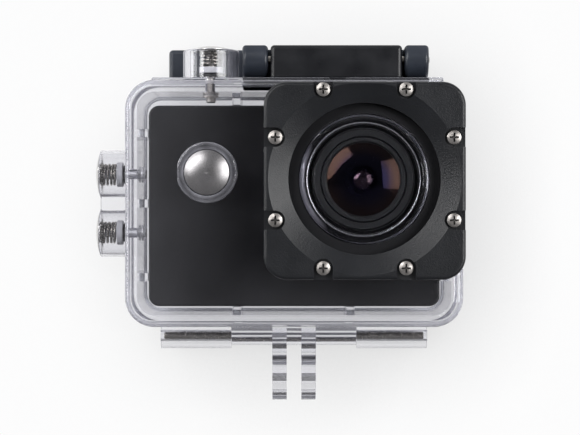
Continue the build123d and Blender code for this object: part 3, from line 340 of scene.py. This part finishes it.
def distance_from_axis(s, centre):
    """Distance of each point from a line along Y through a centre."""
    shifted = s.add("ShaderNodeVectorMath", operation="SUBTRACT")
    s.link(s.coords, shifted.inputs[0])
    shifted.inputs[1].default_value = centre
    flat = s.add("ShaderNodeVectorMath", operation="MULTIPLY")
    s.link(shifted.outputs[0], flat.inputs[0])
    flat.inputs[1].default_value = (1.0, 0.0, 1.0)
    length = s.add("ShaderNodeVectorMath", operation="LENGTH")
    s.link(flat.outputs[0], length.inputs[0])
    return length.outputs["Value"]


def turned_rings(s, centre, pitch):
    """Concentric tool marks about an axis along Y: a wave of the distance from the axis."""
    turns = s.math("MULTIPLY", distance_from_axis(s, centre), 2 * math.pi / pitch)
    return s.span(s.math("SINE", turns), 0.0, 1.0, -1.0, 1.0)


def painted_flank_highlight(s, centre):
    """Mask of the bezel flange where a highlight is painted in: outside, on the button side."""
    shifted = s.add("ShaderNodeVectorMath", operation="SUBTRACT")
    s.link(s.coords, shifted.inputs[0])
    shifted.inputs[1].default_value = centre
    along = s.add("ShaderNodeVectorMath", operation="DOT_PRODUCT")
    s.link(shifted.outputs[0], along.inputs[0])
    along.inputs[1].default_value = (-0.98, 0.0, -0.17)
    side = s.span(along.outputs["Value"], 0.0, 1.0, 8.8 * MM, 11.6 * MM)
    outside = s.span(distance_from_axis(s, centre), 0.0, 1.0, 11.85 * MM, 12.1 * MM)
    return s.math("MULTIPLY", side, outside)


def turned_metal(
    name, colour, centre, rough, pitch=0.12 * MM, metallic=1.0, depth=0.002, coat=0.0, wear=0.35, flank=0.0
):
    """Lathe-turned or spun metal, plain or black anodised, with rings about its own axis."""
    s = Shader(name)
    rings = turned_rings(s, centre, pitch)
    jitter = s.noise(0.3 * MM, 4.0, 0.6)
    blotch = s.noise(2.5 * MM, 4.0, 0.55)
    base = s.mix(s.span(blotch, 0.0, 1.0, 0.3, 0.7), tuple(c * 0.86 for c in colour), colour)
    base = s.mix(s.math("MULTIPLY", s.edges(0.1 * MM), wear), base, (0.55, 0.55, 0.56))
    # Painted highlight: a pale lavender crescent on the button side of the bezel flange, standing in for a
    # reflection.
    if flank:
        base = s.mix(s.math("MULTIPLY", painted_flank_highlight(s, centre), flank), base, (0.62, 0.61, 0.68))
    sheen = s.math("ADD", s.span(rings, rough - 0.03, rough + 0.04), s.span(jitter, -0.04, 0.04))
    normal = s.bump(rings, depth * MM, 0.6)
    shader = s.principled(
        Base_Color=base, Metallic=metallic, Roughness=sheen, Normal=normal, Coat_Weight=coat,
        Coat_Roughness=0.08,
    )
    return s.finish(shader.outputs[0])


def soft_rubber(name, colour, rough, dust_tone=0.18):
    """Silicone or rubber: matte, slightly speckled with dust, with a soft sheen at the rim."""
    s = Shader(name)
    speck = s.cells(0.35 * MM)
    dust = s.noise(0.8 * MM, 5.0, 0.6)
    dusty = tuple(min(1.0, c + dust_tone) for c in colour)
    base = s.mix(s.span(dust, 0.0, 0.35, 0.45, 0.8), colour, dusty)
    normal = s.bump(speck, 0.01 * MM, 0.5)
    shader = s.principled(
        Base_Color=base, Roughness=s.span(dust, rough - 0.08, rough + 0.12), Normal=normal,
        Sheen_Weight=0.25, Sheen_Roughness=0.4,
    )
    return s.finish(shader.outputs[0])


def coated_glass(
    name, tint=(0.97, 0.97, 1.0), ior=1.6, cast=(0.95, 0.95, 0.97), gleam=(1.0, 1.0, 1.0),
    blur=(0.0, 0.02), clear_middle=None,
):
    """Lens glass with a coating that tints its reflections.

    The tint colours what is seen through it, the cast its shadow and the gleam its reflections.
    The gleam is a colour, or a function that makes one from the shader's nodes. The blur is the
    lowest and highest roughness of the smears on it. With clear_middle, a point on the lens axis,
    only the middle is seen through: the rest of the surface is painted opaque black, a painted
    shade for the dark inside of the lens, and shows its reflections over that black.
    """
    s = Shader(name)
    smear = s.noise(2.2 * MM, 3.0, 0.5)
    glass = s.principled(Roughness=s.span(smear, *blur, 0.4, 0.8), IOR=ior)
    if clear_middle is None:
        s.feed(glass, Base_Color=rgb(*tint), Transmission_Weight=1.0)
    else:
        radius = distance_from_axis(s, clear_middle)
        split = s.add("ShaderNodeSeparateXYZ")
        s.link(s.add("ShaderNodeNewGeometry").outputs["Normal"], split.inputs[0])
        from_front = s.math("LESS_THAN", split.outputs["Y"], 0.0)
        darkening = s.span(radius, 0.0, 1.0, CLEAR_MIDDLE - BLEND, CLEAR_MIDDLE)
        closing = s.span(radius, 0.0, 1.0, CLEAR_MIDDLE, CLEAR_MIDDLE + BLEND)
        dark = s.math("MULTIPLY", from_front, darkening)
        solid = s.math("MULTIPLY", from_front, closing)
        # Painted shade: outside its middle the glass is opaque black.
        s.feed(
            glass, Base_Color=s.mix(dark, tint, PAINTED_LENS_SHADE),
            Transmission_Weight=s.math("SUBTRACT", 1.0, solid),
        )
    s.feed(glass, Specular_Tint=gleam(s) if callable(gleam) else rgb(*gleam))
    passing = s.feed(s.add("ShaderNodeBsdfTransparent"), Color=rgb(*cast))
    blend = s.add("ShaderNodeMixShader")
    s.link(s.add("ShaderNodeLightPath").outputs["Is Shadow Ray"], blend.inputs[0])
    s.link(glass.outputs[0], blend.inputs[1])
    s.link(passing.outputs[0], blend.inputs[2])
    return s.finish(blend.outputs[0])


def amber_to_violet(centre):
    """Reflection tint of the front element: amber towards its rim, violet towards the middle."""
    def build(s):
        radius = distance_from_axis(s, centre)
        share = s.span(radius, 0.0, 1.0, 4.6 * MM, 6.5 * MM)
        return s.mix(share, (0.10, 0.085, 0.20), (0.34, 0.19, 0.14))
    return build


def circuit_board(name):
    """Green solder mask over a grid of copper tracks, with tinned pads."""
    s = Shader(name)
    brick = s.add("ShaderNodeTexBrick")
    turned = s.feed(s.add("ShaderNodeMapping"), Vector=s.coords, Rotation=(math.pi / 2, 0, 0))
    s.feed(
        brick, Vector=turned.outputs["Vector"], Scale=1.0 / (4.0 * MM), Mortar_Size=0.03,
        Color1=rgb(0.01, 0.09, 0.04), Color2=rgb(0.012, 0.12, 0.05), Mortar=rgb(0.03, 0.22, 0.08),
    )
    pads = s.span(s.cells(1.9 * MM), 1.0, 0.0, 0.10, 0.16)
    base = s.mix(pads, brick.outputs["Color"], (0.6, 0.55, 0.42))
    shader = s.principled(
        Base_Color=base, Roughness=s.span(s.noise(1.0 * MM), 0.25, 0.4),
        Metallic=s.math("MULTIPLY", pads, 0.8), Normal=s.bump(brick.outputs["Fac"], 0.03 * MM, 0.5),
    )
    return s.finish(shader.outputs[0])


def backdrop_material():
    """White paper behind the object: seen from its front only, and dimmer to strongly bent rays."""
    s = Shader("backdrop_paper")
    fibre = s.noise(1.5 * MM, 5.0, 0.6)
    paper = s.mix(fibre, (0.985, 0.985, 0.99), (1.0, 1.0, 1.0))
    geometry = s.add("ShaderNodeNewGeometry")
    facing = s.add("ShaderNodeVectorMath", operation="DOT_PRODUCT")
    s.link(geometry.outputs["Incoming"], facing.inputs[0])
    s.link(geometry.outputs["True Normal"], facing.inputs[1])
    straight = s.math("ABSOLUTE", facing.outputs["Value"])
    square_on = s.span(straight, 0.0, 1.0, 0.75, 0.9)
    camera = s.add("ShaderNodeLightPath").outputs["Is Camera Ray"]
    shown = s.math("MAXIMUM", square_on, s.math("SUBTRACT", 1.0, camera))
    shown = s.math("MULTIPLY", shown, s.math("SUBTRACT", 1.0, geometry.outputs["Backfacing"]))
    bent = s.span(straight, WALL_GLOW_OBLIQUE, WALL_GLOW, 0.78, 0.985)
    strength = s.math("MAXIMUM", bent, s.math("MULTIPLY", camera, WALL_GLOW))
    glow = s.feed(s.add("ShaderNodeEmission"), Color=paper, Strength=strength)
    blend = s.add("ShaderNodeMixShader")
    s.link(shown, blend.inputs[0])
    s.link(s.add("ShaderNodeBsdfTransparent").outputs[0], blend.inputs[1])
    s.link(glow.outputs[0], blend.inputs[2])
    return s.finish(blend.outputs[0])


def contact_shade_material():
    """Clear card just behind the object that only darkens where the object crowds it.

    The openness is measured towards the upper left, so the shade gathers to the right and below.
    It acts on rays that run straight back, and lets all others through.
    """
    s = Shader("contact_shade")
    towards = s.add("ShaderNodeCombineXYZ")
    for index, value in enumerate(OPEN_DIRECTION):
        towards.inputs[index].default_value = value
    open_sky = s.add("ShaderNodeAmbientOcclusion", samples=12)
    s.feed(open_sky, Distance=SHADE_REACH, Normal=towards.outputs[0])
    shade = s.span(open_sky.outputs["AO"], SHADE_DEEPEST, 1.0, 0.25, 0.97)
    geometry = s.add("ShaderNodeNewGeometry")
    facing = s.add("ShaderNodeVectorMath", operation="DOT_PRODUCT")
    s.link(geometry.outputs["Incoming"], facing.inputs[0])
    s.link(geometry.outputs["True Normal"], facing.inputs[1])
    square_on = s.span(facing.outputs["Value"], 0.0, 1.0, 0.8, 0.95)
    path = s.add("ShaderNodeLightPath")
    blind = s.math("MAXIMUM", path.outputs["Is Shadow Ray"], path.outputs["Is Diffuse Ray"])
    seen = s.math("SUBTRACT", 1.0, blind)
    clear = s.add("ShaderNodeBsdfTransparent")
    s.link(s.mix(s.math("MULTIPLY", square_on, seen), (1.0, 1.0, 1.0), shade), clear.inputs["Color"])
    return s.finish(clear.outputs[0])


def floor_material():
    """Paper floor, pale to the camera and much darker to other rays, so clear edges stay dark."""
    s = Shader("floor_paper")
    fibre = s.noise(2.0 * MM, 5.0, 0.6)
    camera = s.add("ShaderNodeLightPath").outputs["Is Camera Ray"]
    pale = s.mix(fibre, (0.80, 0.80, 0.81), (0.84, 0.84, 0.845))
    paper = s.principled(
        Base_Color=s.mix(camera, (0.22, 0.22, 0.225), pale), Roughness=0.85,
        Normal=s.bump(fibre, 0.05 * MM, 0.3),
    )
    return s.finish(paper.outputs[0])


def middle(node):
    """Centre of a node's box."""
    low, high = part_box(node)
    return tuple((a + b) / 2 for a, b in zip(low, high))


def dress_cad_nodes():
    """Gives every CAD node its procedural material, and returns the springs' metal."""
    lens_centre = middle("lens_bezel")
    dome_centre = middle("power_button_cap")
    clear = clear_plastic("clear_polycarbonate_shell", dome_centre)
    black = moulded_plastic(
        "port_cover_black", (0.0054, 0.0062, 0.0084), rough=0.34, grain=0.24, grain_depth=0.055,
        worn=(0.10, 0.10, 0.11),
    )
    # Latch arm and buckle: the light edge colour and strong wear are painted edge highlights as well as
    # wear.
    slate = moulded_plastic(
        "latch_slate", (0.030, 0.036, 0.049), rough=0.32, grain=0.10, grain_depth=0.004, wear=0.9,
        worn=(0.26, 0.28, 0.32),
    )
    # Latch bar: its light edge colour is a painted edge highlight as well as wear.
    bar = moulded_plastic(
        "latch_bar_black", (0.0085, 0.009, 0.0115), rough=0.32, grain=0.12, grain_depth=0.005, wear=0.8,
        worn=(0.22, 0.23, 0.25),
    )
    body = moulded_plastic(
        "camera_body_black", (0.014, 0.014, 0.016), rough=0.36, grain=0.11, grain_depth=0.008
    )
    face = moulded_plastic(
        "camera_face_black", (0.0030, 0.0030, 0.0040), rough=0.38, grain=0.10, grain_depth=0.0002,
        wear=0.1, specular=0.3,
    )
    keys = moulded_plastic("key_black", (0.02, 0.02, 0.022), rough=0.3, grain=0.1, grain_depth=0.005)
    # The screws and the spring wire get painted shade in their recesses.
    steel = brushed_metal("stainless_steel", (0.50, 0.47, 0.445), rough=0.34, recess_shade=1.0)
    bright = brushed_metal("bright_steel", (0.86, 0.86, 0.88), rough=0.3, dark=0.9)
    wire = brushed_metal("spring_steel_wire", (0.50, 0.47, 0.43), rough=0.22, recess_shade=0.8)
    pin = brushed_metal(
        "pin_steel", (0.36, 0.34, 0.31), rough=0.18, run=(0.05, 1.0, 1.0), dark=0.95, wear=0.0
    )
    dome = turned_metal(
        "polished_dome", (0.345, 0.335, 0.34), dome_centre, rough=0.30, pitch=0.09 * MM, depth=0.00004
    )
    side_dome = brushed_metal("polished_dome_side", (0.76, 0.75, 0.74), rough=0.2, dark=0.85)
    # Bezel ring: black anodised, with a painted highlight on the button side of its flange.
    ring = turned_metal(
        "black_anodised_ring", (0.010, 0.010, 0.012), lens_centre, rough=0.20, metallic=0.3, wear=0.75,
        flank=0.75,
    )
    barrel = turned_metal(
        "black_anodised_barrel", (0.0045, 0.005, 0.006), lens_centre, rough=0.40,
        pitch=0.18 * MM, metallic=0.3, wear=0.1,
    )
    rubber = soft_rubber("black_rubber", (0.004, 0.004, 0.005), rough=0.45, dust_tone=0.004)
    silicone = soft_rubber("grey_silicone", (0.70, 0.70, 0.72), rough=0.5)
    cord = soft_rubber("pale_silicone_cord", (0.80, 0.81, 0.84), rough=0.5)
    board = circuit_board("green_circuit_board")
    finish = {
        "front_shell": clear, "rear_door": clear, "door_seal": cord, "hinge_pin": pin,
        "lens_port_cover": black, "lens_port_screws": steel,
        "lens_port_glass": coated_glass("port_window_glass", ior=1.5, gleam=(0.18, 0.18, 0.20)),
        "lens_port_gasket": rubber, "latch_base": bar, "latch_arm": slate, "latch_buckle": slate,
        "latch_arm_pin": pin, "latch_buckle_pin": pin, "camera_front_case": body,
        "camera_rear_case": body, "camera_front_plate": face, "camera_case_screws": steel,
        "battery_door": body, "lens_bezel": ring, "lens_barrel": barrel,
        "lens_front_element": coated_glass(
            "front_element_glass", cast=(0.15, 0.15, 0.15), gleam=amber_to_violet(lens_centre),
            blur=(0.03, 0.06), clear_middle=lens_centre,
        ),
        "lens_inner_element": coated_glass(
            "inner_element_glass", tint=DARK_GLASS, cast=(0.2, 0.2, 0.2), gleam=(0.3, 0.2, 0.3)
        ),
        "lens_rear_element": coated_glass("rear_element_glass", tint=DARK_GLASS, cast=(0.2, 0.2, 0.2)),
        "image_sensor": turned_metal(
            "sensor_face", (0.05, 0.06, 0.10), lens_centre, rough=0.15, metallic=0.5, coat=1.0
        ),
        "sensor_board": board, "main_board": board,
        "battery": moulded_plastic(
            "battery_wrap", (0.05, 0.055, 0.07), rough=0.3, grain=0.4, grain_depth=0.01
        ),
        "display_panel": moulded_plastic(
            "display_black", (0.006, 0.006, 0.008), rough=0.12, grain=0.2, grain_depth=0.0005, wear=0.0
        ),
        "display_window": coated_glass("display_window_glass", tint=(0.35, 0.36, 0.38), ior=1.5),
        "speaker": brushed_metal("speaker_can", (0.35, 0.35, 0.36), rough=0.3),
        "memory_card": moulded_plastic("memory_card_black", (0.02, 0.02, 0.022), rough=0.4),
        "usb_socket": brushed_metal("socket_shell", (0.6, 0.6, 0.6), rough=0.25),
    }
    for name in BUTTONS:
        finish[f"{name}_button_cap"] = dome if name == "power" else side_dome
        finish[f"{name}_button_stem"] = bright if name in ("up", "down") else steel
        finish[f"{name}_button_spring"] = wire
        finish[f"{name}_button_collar"] = silicone
        finish[f"{name}_button_seal"] = rubber
        finish[f"{name}_button_clip"] = bright if name in ("up", "down") else steel
        finish[f"camera_{name}_key"] = keys
    for node, obj in NODES.items():
        for index in range(len(obj.material_slots)):
            obj.material_slots[index].material = finish[node]
    return wire


# ---------------------------------------------------------------- extra pieces
def mesh_piece(name, rings, closed, material, body):
    """Skins a list of equal rings of points into one smooth closed mesh piece that rides a body."""
    mesh = bpy.data.meshes.new(name)
    build = bmesh.new()
    loops = [[build.verts.new(point) for point in ring] for ring in rings]
    around = len(rings[0])
    pairs = list(zip(loops, loops[1:]))
    if closed:
        pairs.append((loops[-1], loops[0]))
    for one, two in pairs:
        for k in range(around):
            build.faces.new((one[k], one[(k + 1) % around], two[(k + 1) % around], two[k]))
    if not closed:
        build.faces.new(list(reversed(loops[0])))
        build.faces.new(loops[-1])
    bmesh.ops.recalc_face_normals(build, faces=build.faces)
    build.to_mesh(mesh)
    build.free()
    for polygon in mesh.polygons:
        polygon.use_smooth = True
    piece = bpy.data.objects.new(name, mesh)
    bpy.context.collection.objects.link(piece)
    mesh.materials.append(material)
    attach(piece, body)
    return piece


def button_springs(material):
    """Coil springs with closed ends, drawn between each collar and its cap."""
    for joint in frame["joints"]:
        if not joint["name"].endswith("_button_press"):
            continue
        name = joint["name"].replace("_button_press", "")
        inwards = Vector(joint["axis"])
        low, high = (Vector(corner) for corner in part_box(f"{name}_button_spring"))
        centre = (low + high) / 2
        span = (high - low).dot(Vector([abs(c) for c in inwards]))
        wire = (POWER_WIRE_R if name == "power" else WIRE_R) * MM
        foot = centre + inwards * (span / 2 - wire)
        length = span - 2 * wire
        side = inwards.orthogonal().normalized()
        other = inwards.cross(side)
        across_squared = (high - low).length_squared - span * span
        radius = math.sqrt(across_squared / 2) / 2 - wire
        turns = POWER_TURNS if name == "power" else TURNS
        closed_turn = 2 * wire / length * CLOSED_CLIMB
        rings = []
        for step in range(SPRING_STEPS + 1):
            turn = step / SPRING_STEPS * turns
            if turn < 1:
                height = closed_turn * turn
            elif turn > turns - 1:
                height = 1 - closed_turn * (turns - turn)
            else:
                height = closed_turn + (1 - 2 * closed_turn) * (turn - 1) / (turns - 2)
            angle = 2 * math.pi * turn
            out = side * math.cos(angle) + other * math.sin(angle)
            spot = foot - inwards * (length * height) + out * radius
            ring = []
            for side_step in range(WIRE_SIDES):
                around = 2 * math.pi * side_step / WIRE_SIDES
                ring.append(spot + (out * math.cos(around) + inwards * math.sin(around)) * wire)
            rings.append(ring)
        piece = mesh_piece(f"{name}_spring_coil", rings, False, material, "housing")
        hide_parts(f"{name}_button_spring")
        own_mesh(piece)


def on_lens_axis():
    """Point of the lens axis at depth zero."""
    centre = Vector(middle("lens_bezel"))
    centre.y = 0
    return centre


def revolved_piece(name, profile, centre, material, body, around=96):
    """Closed ring turned from (radius, depth) points about an axis along Y through a centre."""
    rings = []
    for step in range(around):
        angle = 2 * math.pi * step / around
        out = Vector((math.cos(angle), 0, math.sin(angle)))
        rings.append([centre + out * r + Vector((0, y, 0)) for r, y in profile])
    mesh_piece(name, rings, True, material, body)


def lens_details():
    """Stepped baffle behind the front element, with a small coated bead of glass in its opening."""
    centre = on_lens_axis()
    baffle = turned_metal(
        "baffle_black", (0.004, 0.004, 0.005), tuple(centre), rough=0.6, pitch=0.3 * MM, wear=0.0
    )
    narrowing = (BAFFLE_INNER_R - BAFFLE_OUTER_R) / BAFFLE_STEPS * MM
    deepening = (BAFFLE_BACK - BAFFLE_FRONT) / BAFFLE_STEPS * MM
    front = []
    for step in range(BAFFLE_STEPS):
        depth = BAFFLE_FRONT * MM + deepening * step
        front.append((BAFFLE_OUTER_R * MM + narrowing * step, depth))
        front.append((BAFFLE_OUTER_R * MM + narrowing * (step + 1), depth))
    back = [(radius, depth + BAFFLE_WALL * MM) for radius, depth in reversed(front)]
    revolved_piece("lens_baffle", front + back, centre, baffle, "housing")

    bead = Shader("coated_bead")
    sheen = bead.noise(0.6 * MM, 3.0, 0.5)
    glass = bead.principled(
        Base_Color=bead.mix(sheen, (0.010, 0.006, 0.012), (0.02, 0.012, 0.022)),
        Roughness=bead.span(sheen, 0.08, 0.16), IOR=1.8, Specular_Tint=rgb(0.52, 0.34, 0.42),
    )
    rim_height = math.sqrt(BEAD_BEND_R**2 - BEAD_R**2)
    outline = []
    for band in range(BEAD_BANDS + 1):
        radius = max(BEAD_R * (1 - band / BEAD_BANDS), TINY_R)
        crown = math.sqrt(BEAD_BEND_R**2 - radius**2) - rim_height
        outline.append((radius, BAFFLE_BACK - BEAD_GAP - crown))
    outline.append((TINY_R, BAFFLE_BACK + BEAD_BACK))
    outline.append((BEAD_R, BAFFLE_BACK + BEAD_BACK))
    profile = [(radius * MM, depth * MM) for radius, depth in outline]
    revolved_piece("lens_bead", profile, centre, bead.finish(glass.outputs[0]), "housing")


def trim_rings():
    """Thin polished ring on the bezel's front edge and a finer one at the mouth of the port."""
    centre = on_lens_axis()
    polish = turned_metal(
        "trim_polished", (0.80, 0.80, 0.84), tuple(centre), rough=0.22, pitch=0.05 * MM,
        depth=0.0004, wear=0.6,
    )
    worn = turned_metal(
        "trim_worn", (0.16, 0.16, 0.19), tuple(centre), rough=0.3, pitch=0.05 * MM, depth=0.0004, wear=0.3
    )
    for name, finish, (radius, depth, tube) in (
        ("bezel_trim", polish, BEZEL_TRIM),
        ("port_mouth_trim", worn, MOUTH_TRIM),
    ):
        profile = []
        for step in range(RIM_SIDES):
            angle = 2 * math.pi * step / RIM_SIDES
            across = (radius + tube * math.cos(angle)) * MM
            profile.append((across, (depth + tube * math.sin(angle)) * MM))
        revolved_piece(name, profile, centre, finish, "housing", around=144)


# ---------------------------------------------------------------- lights, stage, camera
def area_light(name, spot, aim, size, power, roll=0.0):
    """Soft box at a spot, turned towards the aim and then rolled about its own axis."""
    data = bpy.data.lights.new(name, "AREA")
    data.shape = "RECTANGLE"
    data.size, data.size_y = size
    data.energy = power
    light = bpy.data.objects.new(name, data)
    light.location = spot
    aimed = (Vector(aim) - Vector(spot)).to_track_quat("-Z", "Y")
    light.rotation_euler = (aimed @ Quaternion((0, 0, 1), roll)).to_euler()
    bpy.context.collection.objects.link(light)


def stage_plane(name, corners, material):
    """Flat four-sided sheet that belongs to the stage."""
    mesh = bpy.data.meshes.new(name)
    mesh.from_pydata(corners, [], [(0, 1, 2, 3)])
    mesh.materials.append(material)
    plane = bpy.data.objects.new(name, mesh)
    bpy.context.collection.objects.link(plane)


def upright(sides, heights, depth):
    """Corners of a sheet that stands across the view at a depth along Y."""
    left, right = sides
    low, high = heights
    return [(left, depth, low), (right, depth, low), (right, depth, high), (left, depth, high)]


def reflection_card_material():
    """Soft glow just behind the camera that only reflections see, strongest low and to the left."""
    s = Shader("reflection_card")
    place = s.add("ShaderNodeSeparateXYZ")
    s.link(s.coords, place.inputs[0])
    left = s.span(place.outputs["X"], 0.9, 0.0, -0.062, -0.018)
    low = s.span(place.outputs["Z"], 0.95, 0.0, -0.030, 0.016)
    cloud = s.span(s.noise(0.05, 2.0, 0.4), 0.7, 1.2, 0.3, 0.7)
    strength = s.math("MULTIPLY", s.math("MAXIMUM", left, low), cloud)
    glow = s.feed(s.add("ShaderNodeEmission"), Color=rgb(0.93, 0.93, 1.0))
    s.link(s.math("MULTIPLY", strength, GLOW_CARD_STRENGTH), glow.inputs["Strength"])
    blend = s.add("ShaderNodeMixShader")
    s.link(s.add("ShaderNodeLightPath").outputs["Is Glossy Ray"], blend.inputs[0])
    s.link(s.add("ShaderNodeBsdfTransparent").outputs[0], blend.inputs[1])
    s.link(glow.outputs[0], blend.inputs[2])
    return s.finish(blend.outputs[0])


def build_stage():
    """Pale floor, paper wall, shade card, a glow card behind the camera, and soft boxes."""
    wall = upright((-WALL_HALF, WALL_HALF), (FLOOR_Z, WALL_TOP), WALL_Y)
    stage_plane("backdrop", wall, backdrop_material())
    far = FLOOR_HALF
    ground = [(-far, -far, FLOOR_Z), (far, -far, FLOOR_Z), (far, far, FLOOR_Z), (-far, far, FLOOR_Z)]
    stage_plane("floor", ground, floor_material())
    shade = upright((-SHADE_CARD_HALF, SHADE_CARD_HALF), (FLOOR_Z, SHADE_CARD_TOP), SHADE_CARD_Y)
    stage_plane("contact_shade", shade, contact_shade_material())
    glow = upright(GLOW_CARD_SIDES, GLOW_CARD_HEIGHTS, GLOW_CARD_Y)
    stage_plane("reflection_card", glow, reflection_card_material())
    aim = (0.0, 0.0, 0.034)
    area_light(
        "key_left_top", (-0.30, -0.48, 0.26), aim, size=(0.16, 0.46), power=1.6, roll=math.radians(-40)
    )
    area_light("fill_right", (0.40, -0.40, 0.105), aim, size=(0.38, 0.34), power=2.2)
    area_light("strip_left", (-0.48, -0.08, 0.05), aim, size=(0.14, 0.42), power=0.9)
    area_light("top_back", (0.05, 0.30, 0.42), aim, size=(0.5, 0.2), power=0.8)
    area_light("rear_fill", (-0.25, 0.55, 0.25), aim, size=(0.4, 0.3), power=2.0)


def studio_world():
    """Dim room around the set: brightest above and behind the object, darkest low in front."""
    world = bpy.data.worlds.new("studio")
    bpy.context.scene.world = world
    world.use_nodes = True
    tree = world.node_tree
    background = tree.nodes["Background"]
    coords = tree.nodes.new("ShaderNodeTexCoord")
    split = tree.nodes.new("ShaderNodeSeparateXYZ")
    tree.links.new(coords.outputs["Generated"], split.inputs[0])
    total = None
    for axis, weight in WORLD_SLOPES:
        term = tree.nodes.new("ShaderNodeMath")
        term.operation = "MULTIPLY_ADD"
        tree.links.new(split.outputs[axis], term.inputs[0])
        term.inputs[1].default_value = weight
        if total is None:
            term.inputs[2].default_value = WORLD_LEVEL
        else:
            tree.links.new(total, term.inputs[2])
        total = term.outputs[0]
    lowest = tree.nodes.new("ShaderNodeMath")
    lowest.operation = "MAXIMUM"
    tree.links.new(total, lowest.inputs[0])
    lowest.inputs[1].default_value = WORLD_LOWEST
    tree.links.new(lowest.outputs[0], background.inputs["Strength"])
    background.inputs["Color"].default_value = rgb(0.95, 0.96, 1.0)


def build_camera():
    """Camera at the photograph's viewing angle."""
    data = bpy.data.cameras.new("view")
    data.sensor_fit = "HORIZONTAL"
    data.sensor_width = SENSOR_MM
    data.lens = FOCAL_PX / FRAME_WIDTH_PX * SENSOR_MM
    data.clip_start = 0.01
    camera = bpy.data.objects.new("view", data)
    camera.location = (VIEW_X, -VIEW_DISTANCE, VIEW_Z)
    camera.rotation_euler = (math.pi / 2, 0, 0)
    bpy.context.collection.objects.link(camera)
    bpy.context.scene.camera = camera


def tune_paths():
    """Enough bounces for clear plastic, and plain display colours."""
    scene = bpy.context.scene
    scene.cycles.max_bounces = 20
    scene.cycles.transmission_bounces = 16
    scene.cycles.transparent_max_bounces = 24
    scene.cycles.glossy_bounces = 6
    scene.cycles.diffuse_bounces = 4
    scene.cycles.caustics_refractive = False
    scene.cycles.caustics_reflective = False
    scene.cycles.use_denoising = True
    scene.view_settings.view_transform = "Standard"


wire_steel = dress_cad_nodes()
button_springs(wire_steel)
lens_details()
trim_rings()
build_stage()
studio_world()
build_camera()
tune_paths()
